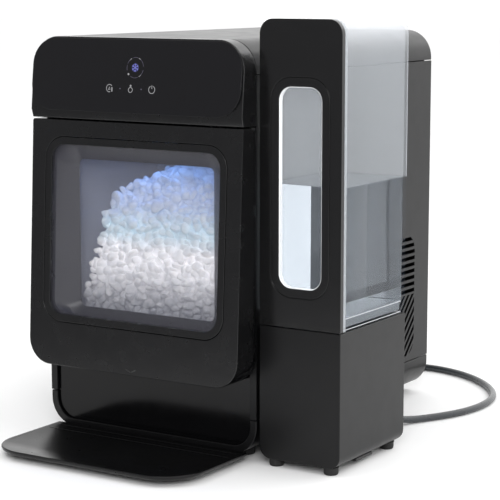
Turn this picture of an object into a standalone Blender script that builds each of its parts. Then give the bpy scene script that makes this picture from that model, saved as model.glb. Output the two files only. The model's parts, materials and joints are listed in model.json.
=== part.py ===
"""Countertop nugget ice maker with a pull-out ice drawer and a water tank at its side.

Cabinet coordinates are used throughout: X = 0 is the middle of the cabinet, Y = 0 its front edge,
Z = 0 the worktop. X runs to the right, Y to the back and Z up. One empty carries everything and
moves the middle of the whole footprint to the world's origin.
"""

import math

import bmesh
import bpy
from mathutils import Matrix, Vector

# ---------------------------------------------------------------- driving dimensions, in metres
TOUCH = 0.0003               # gap between pieces that touch
SEAM = 0.0008                # open joint between two casing panels
WALL = 0.0025                # moulded casing wall
OVERRUN = 0.002              # how far a cutter runs past the face it cuts

CABINET_WIDTH = 0.252
CABINET_DEPTH = 0.366
CABINET_TOP = 0.4105
GROUND_GAP = 0.008           # worktop to the underside of the casings
BASE_SEAM_Z = 0.0435
COVER_HEIGHT = 0.033         # the cabinet's top down to the seam of its cover
TOP_RADIUS = 0.030
BOTTOM_RADIUS = 0.028
RIM_WIDTH = 0.0074           # front edge of the casing, seen from the front
RIM_DEPTH = 0.003
FOOT_RADIUS = 0.009
FOOT_INSET = 0.030           # foot's middle, from the cabinet's sides, front and back
FOOT_CHAMFER = 0.0015

FRONT_REACH = 0.0358         # how far the door stands out at its lower edge
FRONT_TILT = math.radians(3.02)
HEAD_HEIGHT = 0.081
HEAD_SKIN = 0.003
PANEL_HEIGHT = 0.071
PANEL_RADIUS = 0.026
PANEL_MARGIN = 0.0015        # casing left showing at the sides and the top of the control panel
PANEL_LIFT_LOW = 0.006       # how far the control panel stands out at its lower edge
PANEL_LIFT_HIGH = 0.001
PANEL_BOARD_SIDE = 0.046     # cabinet's side to the control board's end
PANEL_BOARD_FOOT = 0.008     # control panel's lower edge to the board's
PANEL_BOARD_HEAD = 0.014
PANEL_BOARD_GAP = 0.004      # head's skin to the board
BOARD_THICKNESS = 0.0016

DOOR_BOTTOM_Z = 0.080
DOOR_GAP = 0.0015            # door to head
DOOR_RADIUS = 0.026
DOOR_TOP_RADIUS = 0.002
DOOR_BACK_Y = -0.001
WINDOW_SIDE = 0.025          # door's edge to the clear window, at the sides
WINDOW_HEAD = 0.0245         # the same above the window
WINDOW_FOOT = 0.0525         # the same below it
WINDOW_RADIUS = 0.015
BEZEL_WIDTH = 0.0075
BEZEL_DEPTH = 0.008
BEZEL_LIP = 0.0022
BEZEL_GROOVE = 0.0005        # line between the door and the bezel
GLASS_THICKNESS = 0.003
GLASS_OVERLAP = 0.002        # how far the pane reaches behind the bezel's lip
TAPER_SIDE = 0.020           # how far the opening behind the glass closes in at each side
TAPER_HEAD = 0.0159
TAPER_FOOT = 0.0051
INNER_RADIUS = 0.006
INNER_PANE_THICKNESS = 0.0025
INNER_PANE_OVERLAP = 0.005
INNER_PANE_SETBACK = 0.001   # door's back to the inner pane
SEAL_WIDTH = 0.005
SEAL_SIDE = 0.0115           # door's edge to the seal, at the sides
SEAL_FOOT = 0.0025
SEAL_HEAD = 0.003
SEAL_RADIUS = 0.020

BAY_SIDE = 0.017             # cabinet's side to the inside of the insulated liner
BAY_FOOT = 0.007             # door's lower edge to the liner's floor
BAY_HEAD = 0.009             # liner's roof to the door's upper edge
WORKS_DEPTH = 0.197          # back of the bay to the rear edge of the casing
LINER_WALL = 0.003
OPENING_LIP = 0.001          # front panel left showing above and below the bay
OPENING_RADIUS = 0.006
BIN_SIDE_ROOM = 0.0105       # liner to ice bin
BIN_REAR_ROOM = 0.019
BIN_HEADROOM = 0.027
BIN_FRONT_ROOM = 0.0055      # recess's rim to ice bin
CARRIAGE_THICKNESS = 0.0025
CARRIAGE_LIFT = 0.003        # carriage floor above the liner's floor
CARRIAGE_SIDE_HEIGHT = 0.022
RUNNER_LIFT = 0.008          # carriage's underside to its runners
RUNNER_HEIGHT = 0.010
RUNNER_WIDTH = 0.0020
RUNNER_ROOT = 0.0005         # how deep a runner is moulded into the carriage's side
RUNNER_SHORT = 0.001         # how much a runner ends before the carriage
RAIL_WALL = 0.0012
RAIL_PLAY = 0.0005
RAIL_LONG = 0.008            # how far the rails go on behind the bin
LAMP_WIDTH = 0.044
LAMP_FRONT_Y = 0.040
LAMP_DEPTH = 0.012
LAMP_HEIGHT = 0.005

TRAY_SIDE = 0.0097           # cabinet's side to the tray's side
TRAY_REACH = 0.120
TRAY_RISE = 0.0028           # underside of the casings to the tray's top
TRAY_THICKNESS = 0.005
TRAY_RADIUS = 0.042
TONGUE_WIDTH = 0.150         # part of the tray that slides under the cabinet
TONGUE_LENGTH = 0.060
TONGUE_ROOT = 0.020          # how far the tongue reaches into the tray
TONGUE_THICKNESS = 0.0034

AUGER_X = -0.040
AUGER_ROOM = 0.043           # back of the bay to the auger's axis
BORE_RADIUS = 0.0215
AUGER_PLAY = 0.0007
AUGER_CORE = 0.016           # thickness across the auger's core
AUGER_TURNS = 3
AUGER_STEPS = 12             # rings in each turn of the auger
AUGER_LIFT = 0.0025          # barrel's lower end to the screw
AUGER_DROP = 0.003           # screw's top to the barrel's outlet
JOURNAL_RADIUS = 0.007
JOURNAL_ROOT = 0.010         # how far the journal reaches into the screw
BARREL_RADIUS = 0.030
FLANGE_RADIUS = 0.036
BARREL_BOTTOM_Z = 0.0755
BARREL_RISE = 0.003          # roof of the bay to the barrel's top
FLANGE_HEIGHT = 0.020
FLANGE_CHAMFER = 0.002
OUTLET_WIDTH = 0.030
OUTLET_DROP = 0.021          # barrel's top to the foot of its outlet
OUTLET_HEIGHT = 0.016
CHUTE_WIDTH = 0.040
CHUTE_HEIGHT = 0.020
CHUTE_WALL = 0.002
CHUTE_LIP = 0.010            # how far the chute reaches over the bin
CHUTE_LIFT = 0.0035          # bin's top to the chute
CHUTE_PLAY = 0.001           # chute to the hole in the liner
MOTOR_SIDE = 0.076
MOTOR_GAP = 0.0035           # gear motor to barrel
RESERVOIR_LEFT_X = 0.015
RESERVOIR_SIDE = 0.021       # cabinet's side to the reservoir
RESERVOIR_ROOM = 0.011       # back of the bay to the reservoir
RESERVOIR_DEPTH = 0.056
RESERVOIR_HEIGHT = 0.085
RESERVOIR_DROP = 0.032       # barrel's top to the reservoir's
RESERVOIR_INLET = 0.016      # reservoir's left side to the middle of its inlet
RESERVOIR_INLET_BACK = 0.020
INLET_TUBE_DIAMETER = 0.007
LINE_DIAMETER = 0.006
LINE_SPACING = 0.012         # distance between the points of an inner tube
STRAIGHT_END = 0.012         # straight run where a tube meets what it serves

REAR_PANEL_INSET = 0.0115    # rear edge of the casing to the outside of the rear panel
SLOT_HEIGHT = 0.004
SLOT_PITCH = 0.009
SLOT_MARGIN = 0.004          # end of a rear slot to the condenser's side
VENT_WIDTH = 0.038           # grille in each side panel
VENT_BOTTOM_Z = 0.050
VENT_TOP_Z = 0.186
VENT_BACK = 0.053            # rear edge of the casing to the grille's middle
VENT_SPLIT_Z = 0.119         # level slots above this height, slanting slots below it
VENT_PITCH = 0.0073
VENT_SLOT = 0.0042
INLET_BODY = (0.027, 0.020)  # width and height of the power inlet's body
INLET_FLANGE = (0.038, 0.027)
INLET_FLANGE_THICKNESS = 0.0028
INLET_FLANGE_RADIUS = 0.004
INLET_DEPTH = 0.020
INLET_SOCKET_DEPTH = 0.016
INLET_SHELL = 0.002
INLET_OFFSET = 0.022         # compressor's middle to the inlet's
INLET_RISE = 0.044           # compressor's height to the inlet's middle
DRAIN_X = -0.085
DRAIN_HEAD_RADIUS = 0.0105
DRAIN_HEAD_LENGTH = 0.009
DRAIN_STEM_RADIUS = 0.006
DRAIN_STEM_LENGTH = 0.014

COMPRESSOR_RADIUS = 0.046
COMPRESSOR_HEIGHT = 0.136
COMPRESSOR_SIDE = 0.0095     # casing to compressor
COMPRESSOR_BACK = 0.014      # rear panel to compressor
SHROUD_MARGIN = 0.005        # fan's tunnel to the shroud's side
CONDENSER_ROOM = 0.0075      # casing to condenser
CONDENSER_BACK = 0.008       # rear panel to condenser
CONDENSER_DEPTH = 0.026
CONDENSER_BOTTOM_Z = 0.060
CONDENSER_OVER = 0.010       # how much taller the condenser is than wide, above and below the fan
FIN_COUNT = 12
FIN_WEB = 0.004              # solid back that joins the fins
SHROUD_DEPTH = 0.0175
FAN_RADIUS = 0.042
FAN_PLAY = 0.003
HUB_RADIUS = 0.014
HUB_GAP = 0.001              # shroud's struts to the hub
HUB_BACK_GAP = 0.002         # hub to the shroud's rear face
BLADE_COUNT = 5
BLADE_PITCH = math.radians(32)
BLADE_CHORD = 0.020
BLADE_THICKNESS = 0.0016
BLADE_ROOT = 0.003           # how far a blade reaches into the hub
STRUT_DEPTH = 0.0025
STRUT_HALF_WIDTH = 0.004
SHROUD_RING = 0.002          # ring left between the struts' openings and the tunnel
SPINDLE_RADIUS = 0.0035
SPINDLE_PLAY = 0.001
FAN_MOTOR_RADIUS = 0.018
FAN_MOTOR_LENGTH = 0.027
SHELF_LIFT = 0.008           # barrel's top to the board shelf
SHELF_THICKNESS = 0.002
SHELF_ROOM = 0.014           # back of the bay to the shelf
MAIN_BOARD_SIDE = 0.056      # cabinet's side to the board
MAIN_BOARD_FRONT = 0.016     # shelf's front to the board
MAIN_BOARD_BACK = 0.024      # rear panel's outside to the board

TANK_GAP = 0.0034            # cabinet to tank
TANK_WIDTH = 0.089
TANK_DEPTH = 0.131
TANK_RISE = 0.020            # tank's top above the cabinet's
TANK_SEAM_Z = 0.139
TANK_TOP_RADIUS = 0.014
TANK_BOTTOM_RADIUS = 0.0115
TANK_PANEL_THICKNESS = 0.0055
SIGHT_WIDTH = 0.047
SIGHT_FOOT = 0.038           # tank's seam to the sight window
SIGHT_HEAD = 0.0625          # sight window to the tank's top
SIGHT_RADIUS = 0.0135
SIGHT_SETBACK = 0.0005
DOCK_Y = 0.070
DOCK_PLAY = 0.002            # cap to the hole in the tank's base
DOCK_RIM = 0.0035            # hole in the tank's base to the outside of the dock's cup
DOCK_DEPTH = 0.0085          # cap's underside to the floor of the cup
DOCK_PIN_RADIUS = 0.003
DOCK_PIN_HEIGHT = 0.0055
CAP_RADIUS = 0.0205
CAP_WALL = 0.0035
CAP_DROP = 0.024             # tank's seam to the cap's underside
CAP_FLOOR = 0.003
PLUNGER_STEM = 0.004
PLUNGER_HEAD = 0.009
PLUNGER_PLAY = 0.0008
PLUNGER_HEAD_HEIGHT = 0.004
PLUNGER_TAIL = 0.0025        # how far the stem stands out under the cap
PLUNGER_LENGTH = 0.012       # cap's floor to the stem's upper end
HATCH_SIZE = (0.068, 0.026)  # opening in the tank base's floor
HATCH_Y = 0.063
HATCH_LIP = 0.003
HATCH_COVER_THICKNESS = 0.0032
PUMP_RADIUS = 0.020
PUMP_BEHIND_DOCK = 0.018
PUMP_FLOOR_GAP = 0.006
PUMP_TOP_GAP = 0.010
TANK_FOOT_RADIUS = 0.00775
TANK_FOOT_INSET_X = 0.0142
TANK_FOOT_INSET_Y = 0.0094

PORT_Z = 0.023               # both hose ports
PORT_X = 0.010               # port at the back of the cabinet
TANK_PORT_OFFSET = 0.0079    # tank's middle to the port at the back of its base
PORT_FLANGE_RADIUS = 0.009
PORT_FLANGE_THICKNESS = 0.002
PORT_NOZZLE_RADIUS = 0.0042
PORT_PLAY = 0.0006           # nozzle to the hole it goes through
PORT_REACH = 0.0102          # nozzle's end outside the wall
PORT_STUB = 0.005            # nozzle's end inside the wall
HOSE_DIAMETER = 0.0075
HOSE_POINT_SPACING = 0.018
HOSE_REST_Z = 0.0040         # centreline of the hose where it lies on the worktop

ARC_STEPS = 6                # straight pieces in a quarter turn of an outline
ROUND_STEPS = 24             # sides of a turned piece
SMALL_STEPS = 16             # sides of a small turned piece

# ---------------------------------------------------------------- places worked out from them
HALF_WIDTH = CABINET_WIDTH / 2
COVER_SEAM_Z = CABINET_TOP - COVER_HEIGHT
HEAD_BOTTOM_Z = CABINET_TOP - HEAD_HEIGHT
PANEL_TOP_Z = CABINET_TOP - PANEL_MARGIN
PANEL_BOTTOM_Z = PANEL_TOP_Z - PANEL_HEIGHT
DOOR_TOP_Z = HEAD_BOTTOM_Z - DOOR_GAP
WINDOW_BOTTOM_Z = DOOR_BOTTOM_Z + WINDOW_FOOT
WINDOW_TOP_Z = DOOR_TOP_Z - WINDOW_HEAD
WINDOW_HALF = HALF_WIDTH - WINDOW_SIDE
BAY_HALF = HALF_WIDTH - BAY_SIDE
BAY_BOTTOM_Z = DOOR_BOTTOM_Z + BAY_FOOT
BAY_TOP_Z = DOOR_TOP_Z - BAY_HEAD
BAY_BACK_Y = CABINET_DEPTH - WORKS_DEPTH
BIN_HALF = BAY_HALF - BIN_SIDE_ROOM
BIN_FRONT_Y = RIM_DEPTH + BIN_FRONT_ROOM
BIN_BACK_Y = BAY_BACK_Y - BIN_REAR_ROOM
BIN_TOP_Z = BAY_TOP_Z - BIN_HEADROOM
TANK_TOP = CABINET_TOP + TANK_RISE
TANK_LEFT = HALF_WIDTH + TANK_GAP
TANK_X = TANK_LEFT + TANK_WIDTH / 2
TANK_RIGHT = TANK_LEFT + TANK_WIDTH
TANK_PORT_X = TANK_X - TANK_PORT_OFFSET
SIGHT_BOTTOM_Z = TANK_SEAM_Z + SIGHT_FOOT
SIGHT_TOP_Z = TANK_TOP - SIGHT_HEAD
ORIGIN_X = (TANK_RIGHT - HALF_WIDTH) / 2
ORIGIN_Y = (CABINET_DEPTH - TRAY_REACH) / 2
BASE_FLOOR_Z = GROUND_GAP + WALL
REAR_PANEL_Y = CABINET_DEPTH - REAR_PANEL_INSET
REAR_INSIDE_Y = REAR_PANEL_Y - WALL
TRAY_TOP_Z = GROUND_GAP + TRAY_RISE
RECESS_Y = RIM_DEPTH + TOUCH
CARRIAGE_Z = BAY_BOTTOM_Z + CARRIAGE_LIFT
BIN_BOTTOM_Z = CARRIAGE_Z + CARRIAGE_THICKNESS + TOUCH
CARRIAGE_SIDE_X = BIN_HALF + TOUCH
RUNNER_X = CARRIAGE_SIDE_X + WALL
RUNNER_Z = CARRIAGE_Z + RUNNER_LIFT
AUGER_Y = BAY_BACK_Y + AUGER_ROOM
BARREL_TOP_Z = BAY_TOP_Z + BARREL_RISE
OUTLET_BOTTOM_Z = BARREL_TOP_Z - OUTLET_DROP
CHUTE_Z = BIN_TOP_Z + CHUTE_LIFT
CONDENSER_SIDE = 2 * (FAN_RADIUS + FAN_PLAY + SHROUD_MARGIN)
CONDENSER_HEIGHT = CONDENSER_SIDE + 2 * CONDENSER_OVER
COMPRESSOR_X = HALF_WIDTH - WALL - COMPRESSOR_SIDE - COMPRESSOR_RADIUS
COMPRESSOR_Y = REAR_INSIDE_Y - COMPRESSOR_BACK - COMPRESSOR_RADIUS
CONDENSER_X = -HALF_WIDTH + WALL + CONDENSER_ROOM + CONDENSER_SIDE / 2
CONDENSER_BACK_Y = REAR_INSIDE_Y - CONDENSER_BACK
CONDENSER_TOP_Z = CONDENSER_BOTTOM_Z + CONDENSER_HEIGHT
SHROUD_BACK_Y = CONDENSER_BACK_Y - CONDENSER_DEPTH - TOUCH
SHROUD_FRONT_Y = SHROUD_BACK_Y - SHROUD_DEPTH
FAN_Z = CONDENSER_BOTTOM_Z + CONDENSER_HEIGHT / 2
VENT_Y = CABINET_DEPTH - VENT_BACK
CAP_BOTTOM_Z = TANK_SEAM_Z - CAP_DROP
DOCK_RADIUS = CAP_RADIUS + DOCK_PLAY
CUP_FLOOR_Z = CAP_BOTTOM_Z - DOCK_DEPTH
PORT_HOLE_RADIUS = PORT_NOZZLE_RADIUS + PORT_PLAY

ANCHORS = {}


# ---------------------------------------------------------------- scene, collections, materials
def clear_scene():
    for old in list(bpy.data.objects):
        bpy.data.objects.remove(old)


def collection(name):
    made = bpy.data.collections.new(name)
    bpy.context.scene.collection.children.link(made)
    return made


def material(name, colour, roughness, metallic=0.0, alpha=1.0):
    made = bpy.data.materials.new(name)
    made.use_nodes = True
    shader = made.node_tree.nodes["Principled BSDF"]
    shader.inputs["Base Color"].default_value = (*colour, 1.0)
    shader.inputs["Roughness"].default_value = roughness
    shader.inputs["Metallic"].default_value = metallic
    shader.inputs["Alpha"].default_value = alpha
    return made


def anchor(name, place, parent=None):
    """An empty that stands on a joint's axis, or carries the whole machine."""
    empty = bpy.data.objects.new(name, None)
    PARTS.objects.link(empty)
    ANCHORS[name] = Vector(place)
    if parent:
        empty.parent = parent
        empty.location = Vector(place) - ANCHORS[parent.name]
    else:
        empty.location = Vector((-ORIGIN_X, -ORIGIN_Y, 0.0))
    return empty


def add_object(name, data, finish, carrier, place=(0.0, 0.0, 0.0)):
    """Links an object to the model, at a place given in cabinet coordinates."""
    made = bpy.data.objects.new(name, data)
    PARTS.objects.link(made)
    made.parent = carrier
    made.location = Vector(place) - ANCHORS[carrier.name]
    if finish:
        data.materials.append(finish)
    return made


def as_tool(obj):
    """Turns an object into a cutter or a joining shape: kept out of the model and the render."""
    PARTS.objects.unlink(obj)
    CUTTERS.objects.link(obj)
    obj.hide_render = True
    obj.display_type = "WIRE"
    return obj


def boolean(obj, tool, operation):
    step = obj.modifiers.new(operation.lower() + "_" + tool.name, "BOOLEAN")
    step.operation = operation
    step.solver = "EXACT"
    step.object = as_tool(tool) if tool.name in PARTS.objects else tool
    return obj


def cut(obj, *tools):
    for tool in tools:
        boolean(obj, tool, "DIFFERENCE")
    return obj


def join(obj, *tools):
    for tool in tools:
        boolean(obj, tool, "UNION")
    return obj


# ---------------------------------------------------------------- outlines
def arc(centre, radius, start, end, steps=ARC_STEPS):
    """Points along an arc, from one angle to another, both in degrees."""
    points = []
    for i in range(steps + 1):
        angle = math.radians(start + (end - start) * i / steps)
        points.append((centre[0] + radius * math.cos(angle), centre[1] + radius * math.sin(angle)))
    return points


def rounded(x0, x1, z0, z1, low=0.0, high=None):
    """A rectangle with one radius on its two lower corners and another on its upper ones."""
    high = low if high is None else high
    corners = (
        (x1, z0, -1, 1, low, -90),
        (x1, z1, -1, -1, high, 0),
        (x0, z1, 1, -1, high, 90),
        (x0, z0, 1, 1, low, 180),
    )
    points = []
    for x, z, to_x, to_z, radius, start in corners:
        if radius > 0:
            points += arc((x + to_x * radius, z + to_z * radius), radius, start, start + 90)
        else:
            points.append((x, z))
    return points


def cabinet_outline(inset):
    """The cabinet's cross-section, seen from the front, drawn in by an inset."""
    return rounded(-HALF_WIDTH + inset, HALF_WIDTH - inset, GROUND_GAP + inset, CABINET_TOP - inset,
                   BOTTOM_RADIUS - inset, TOP_RADIUS - inset)


def front_y(z):
    """The tilted plane of the door and of the head above it."""
    return -FRONT_REACH + (z - DOOR_BOTTOM_Z) * math.tan(FRONT_TILT)


def front_depth(depth):
    """A plane that lies a given depth behind the tilted front."""
    return lambda z: front_y(z) + depth


def panel_y(z):
    """The control panel's face, which stands out most at its lower edge."""
    share = (z - PANEL_BOTTOM_Z) / (PANEL_TOP_Z - PANEL_BOTTOM_Z)
    return front_y(z) - PANEL_LIFT_LOW - share * (PANEL_LIFT_HIGH - PANEL_LIFT_LOW)


# ---------------------------------------------------------------- solids
def outline_mesh(outlines, thickness):
    """A flat outline with its holes, made thick, centred on its own plane."""
    curve = bpy.data.curves.new("outline", "CURVE")
    curve.dimensions = "2D"
    curve.fill_mode = "BOTH"
    curve.extrude = thickness / 2
    for points in outlines:
        spline = curve.splines.new("POLY")
        spline.points.add(len(points) - 1)
        for point, (u, v) in zip(spline.points, points):
            point.co = (u, v, 0.0, 1.0)
        spline.use_cyclic_u = True
    source = bpy.data.objects.new("outline", curve)
    bpy.context.scene.collection.objects.link(source)
    bpy.context.view_layer.update()
    mesh = bpy.data.meshes.new_from_object(source.evaluated_get(bpy.context.evaluated_depsgraph_get()))
    shape = bmesh.new()
    shape.from_mesh(mesh)
    bmesh.ops.remove_doubles(shape, verts=shape.verts, dist=0.00001)
    shape.to_mesh(mesh)
    shape.free()
    bpy.data.objects.remove(source)
    bpy.data.curves.remove(curve)
    mesh.materials.clear()
    return mesh


def plate(name, outlines, front, back, finish, carrier):
    """An upright plate: outlines in X and Z, its two faces at depths that may depend on height."""
    mesh = outline_mesh(outlines, 2.0)
    for vertex in mesh.vertices:
        u, v, side = vertex.co
        face = front if side > 0 else back
        vertex.co = (u, face(v) if callable(face) else face, v)
    return add_object(name, mesh, finish, carrier)


def column(name, outline, bottom, top, finish, carrier):
    """An outline in X and Y, carried straight up."""
    mesh = outline_mesh([outline], top - bottom)
    return add_object(name, mesh, finish, carrier, (0.0, 0.0, (bottom + top) / 2))


def box(name, low, high, finish, carrier):
    low, high = Vector(low), Vector(high)
    size = high - low
    shape = bmesh.new()
    bmesh.ops.create_cube(shape, size=1.0)
    bmesh.ops.scale(shape, vec=size, verts=shape.verts)
    mesh = bpy.data.meshes.new(name)
    shape.to_mesh(mesh)
    shape.free()
    return add_object(name, mesh, finish, carrier, (low + high) / 2)


def rod(name, centre, radius, length, finish, carrier, along="Z", end_radius=None):
    """A cylinder, or a tapered one, centred on a point."""
    shape = bmesh.new()
    bmesh.ops.create_cone(shape, cap_ends=True, segments=ROUND_STEPS, depth=length, radius1=radius,
                          radius2=radius if end_radius is None else end_radius)
    mesh = bpy.data.meshes.new(name)
    shape.to_mesh(mesh)
    shape.free()
    made = add_object(name, mesh, finish, carrier, centre)
    turn_to(made, along)
    smooth(made)
    return made


def turned(name, profile, place, finish, carrier, along="Z", closed=False, sides=ROUND_STEPS):
    """A turned piece. The profile lists (radius, height) down its outer side; closed makes a ring."""
    mesh = bpy.data.meshes.new(name)
    points = [(radius, 0.0, height) for radius, height in profile]
    edges = [(i, i + 1) for i in range(len(points) - 1)]
    if closed:
        edges.append((len(points) - 1, 0))
    mesh.from_pydata(points, edges, [])
    made = add_object(name, mesh, finish, carrier, place)
    spin = made.modifiers.new("turn", "SCREW")
    spin.angle = math.tau
    spin.steps = sides
    spin.render_steps = sides
    spin.use_merge_vertices = True
    spin.merge_threshold = 0.00002
    turn_to(made, along)
    return made


def turn_to(obj, along):
    """Points an object's own Z axis along the world's Z or Y."""
    obj.rotation_euler = (-math.pi / 2 if along == "Y" else 0.0, 0.0, 0.0)


def smooth(obj):
    obj.data.shade_smooth()
    obj.data.set_sharp_from_angle(angle=math.radians(30))


def smooth_route(knots, spacing):
    """Evenly spaced points on a smooth curve through the knots of a route."""
    knots = [Vector(knot) for knot in knots]
    padded = [2 * knots[0] - knots[1]] + knots + [2 * knots[-1] - knots[-2]]
    fine = [knots[0]]
    for before, start, end, after in zip(padded, padded[1:], padded[2:], padded[3:]):
        for i in range(1, 13):
            t = i / 12
            fine.append(0.5 * (2 * start + (end - before) * t
                               + (2 * before - 5 * start + 4 * end - after) * t ** 2
                               + (3 * start - before - 3 * end + after) * t ** 3))
    lengths = [0.0]
    for start, end in zip(fine, fine[1:]):
        lengths.append(lengths[-1] + (end - start).length)
    count = round(lengths[-1] / spacing)
    points = []
    i = 0
    for step in range(count + 1):
        target = lengths[-1] * step / count
        while i < len(fine) - 2 and lengths[i + 1] < target:
            i += 1
        share = (target - lengths[i]) / (lengths[i + 1] - lengths[i])
        points.append(fine[i].lerp(fine[i + 1], share))
    return points


def tube(name, knots, diameter, spacing, finish, carrier):
    """A tube along a smooth route, with closed ends."""
    points = smooth_route(knots, spacing)
    curve = bpy.data.curves.new(name, "CURVE")
    curve.dimensions = "3D"
    curve.bevel_depth = diameter / 2
    curve.bevel_resolution = 2
    curve.use_fill_caps = True
    spline = curve.splines.new("POLY")
    spline.points.add(len(points) - 1)
    start = points[0]
    for target, point in zip(spline.points, points):
        target.co = (*(point - start), 1.0)
    return add_object(name, curve, finish, carrier, start)


# ---------------------------------------------------------------- cabinet
def build_casing():
    front_edge = cabinet_outline(0.0)
    wall_line = cabinet_outline(WALL)
    far = CABINET_WIDTH + CABINET_DEPTH

    def band(name, low, high, front, finish):
        """One level of the casing: the whole cross-section, cut off below and above."""
        made = plate(name, [front_edge, wall_line], front, CABINET_DEPTH, finish, MACHINE)
        return cut(made,
                   box(name + "_below", (-far, -far, low - far), (far, far, low), None, MACHINE),
                   box(name + "_above", (-far, -far, high), (far, far, high + far), None, MACHINE))

    base = band("base_pan", GROUND_GAP - OVERRUN, BASE_SEAM_Z - SEAM / 2, 0.0, BLACK)
    rim_tool = plate("base_rim", [front_edge, cabinet_outline(RIM_WIDTH)], 0.0, RIM_DEPTH, None, MACHINE)
    rim_top = BASE_SEAM_Z - SEAM / 2
    cut(rim_tool, box("base_rim_above", (-far, -far, rim_top), (far, far, rim_top + far), None, MACHINE))
    join(base, rim_tool)

    band("top_cover", COVER_SEAM_Z + SEAM / 2, CABINET_TOP + OVERRUN, TOUCH, BLACK)

    for name, side in (("side_panel_right", 1), ("side_panel_left", -1)):
        outline = [(HALF_WIDTH, 0.0), (HALF_WIDTH, CABINET_DEPTH), (HALF_WIDTH - WALL, CABINET_DEPTH),
                   (HALF_WIDTH - WALL, RIM_DEPTH), (HALF_WIDTH - RIM_WIDTH, RIM_DEPTH),
                   (HALF_WIDTH - RIM_WIDTH, 0.0)]
        outline = [(side * x, y) for x, y in outline]
        panel = column(name, outline, BASE_SEAM_Z + SEAM / 2, COVER_SEAM_Z - SEAM / 2, BLACK, MACHINE)
        cut(panel, vent_tool(name, side))

    opening = rounded(-BAY_HALF + WALL, BAY_HALF - WALL, BAY_BOTTOM_Z + OPENING_LIP,
                      BAY_TOP_Z - OPENING_LIP, OPENING_RADIUS)
    inner = HALF_WIDTH - WALL - TOUCH
    recess = rounded(-inner, inner, BASE_FLOOR_Z + TOUCH, DOOR_TOP_Z, BOTTOM_RADIUS - WALL - TOUCH, 0.0)
    plate("front_panel", [recess, opening], RECESS_Y, RECESS_Y + WALL, GLOSS, MACHINE)


def vent_tool(name, side):
    """Cutter for a side grille: level slots above slanting ones, inside one long rounded field."""
    low_x = HALF_WIDTH - WALL - OVERRUN
    high_x = HALF_WIDTH + OVERRUN
    half = VENT_WIDTH / 2
    slots = []
    z = VENT_TOP_Z - VENT_SLOT
    while z > VENT_SPLIT_Z:
        slots.append((z, 0.0, VENT_WIDTH))
        z -= VENT_PITCH
    z = VENT_SPLIT_Z - VENT_PITCH / 2 + half
    while z > VENT_BOTTOM_Z - half:
        slots.append((z, 45.0, VENT_WIDTH * 2))
        z -= VENT_PITCH * math.sqrt(2)
    field = rounded(-half, half, VENT_BOTTOM_Z, VENT_TOP_Z, half)
    lower = rounded(-half, half, VENT_BOTTOM_Z, VENT_SPLIT_Z, half, 0.001)
    made = None
    for i, (height, slant, length) in enumerate(slots):
        slot = box(f"{name}_slot_{i}", (0.0, 0.0, 0.0), (high_x - low_x, length, VENT_SLOT), None, MACHINE)
        slot.rotation_euler = (math.radians(slant), 0.0, 0.0)
        slot.location = Vector((side * (low_x + high_x) / 2, VENT_Y, height)) - ANCHORS[MACHINE.name]
        limit = plate(f"{name}_limit_{i}", [lower if slant else field], -OVERRUN * 2, OVERRUN * 2,
                      None, MACHINE)
        limit.rotation_euler = (0.0, 0.0, math.pi / 2)
        limit.location = Vector((side * (low_x + high_x) / 2, VENT_Y, 0.0)) - ANCHORS[MACHINE.name]
        boolean(slot, limit, "INTERSECT")
        if made is None:
            made = slot
        else:
            join(made, slot)
    return made


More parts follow.
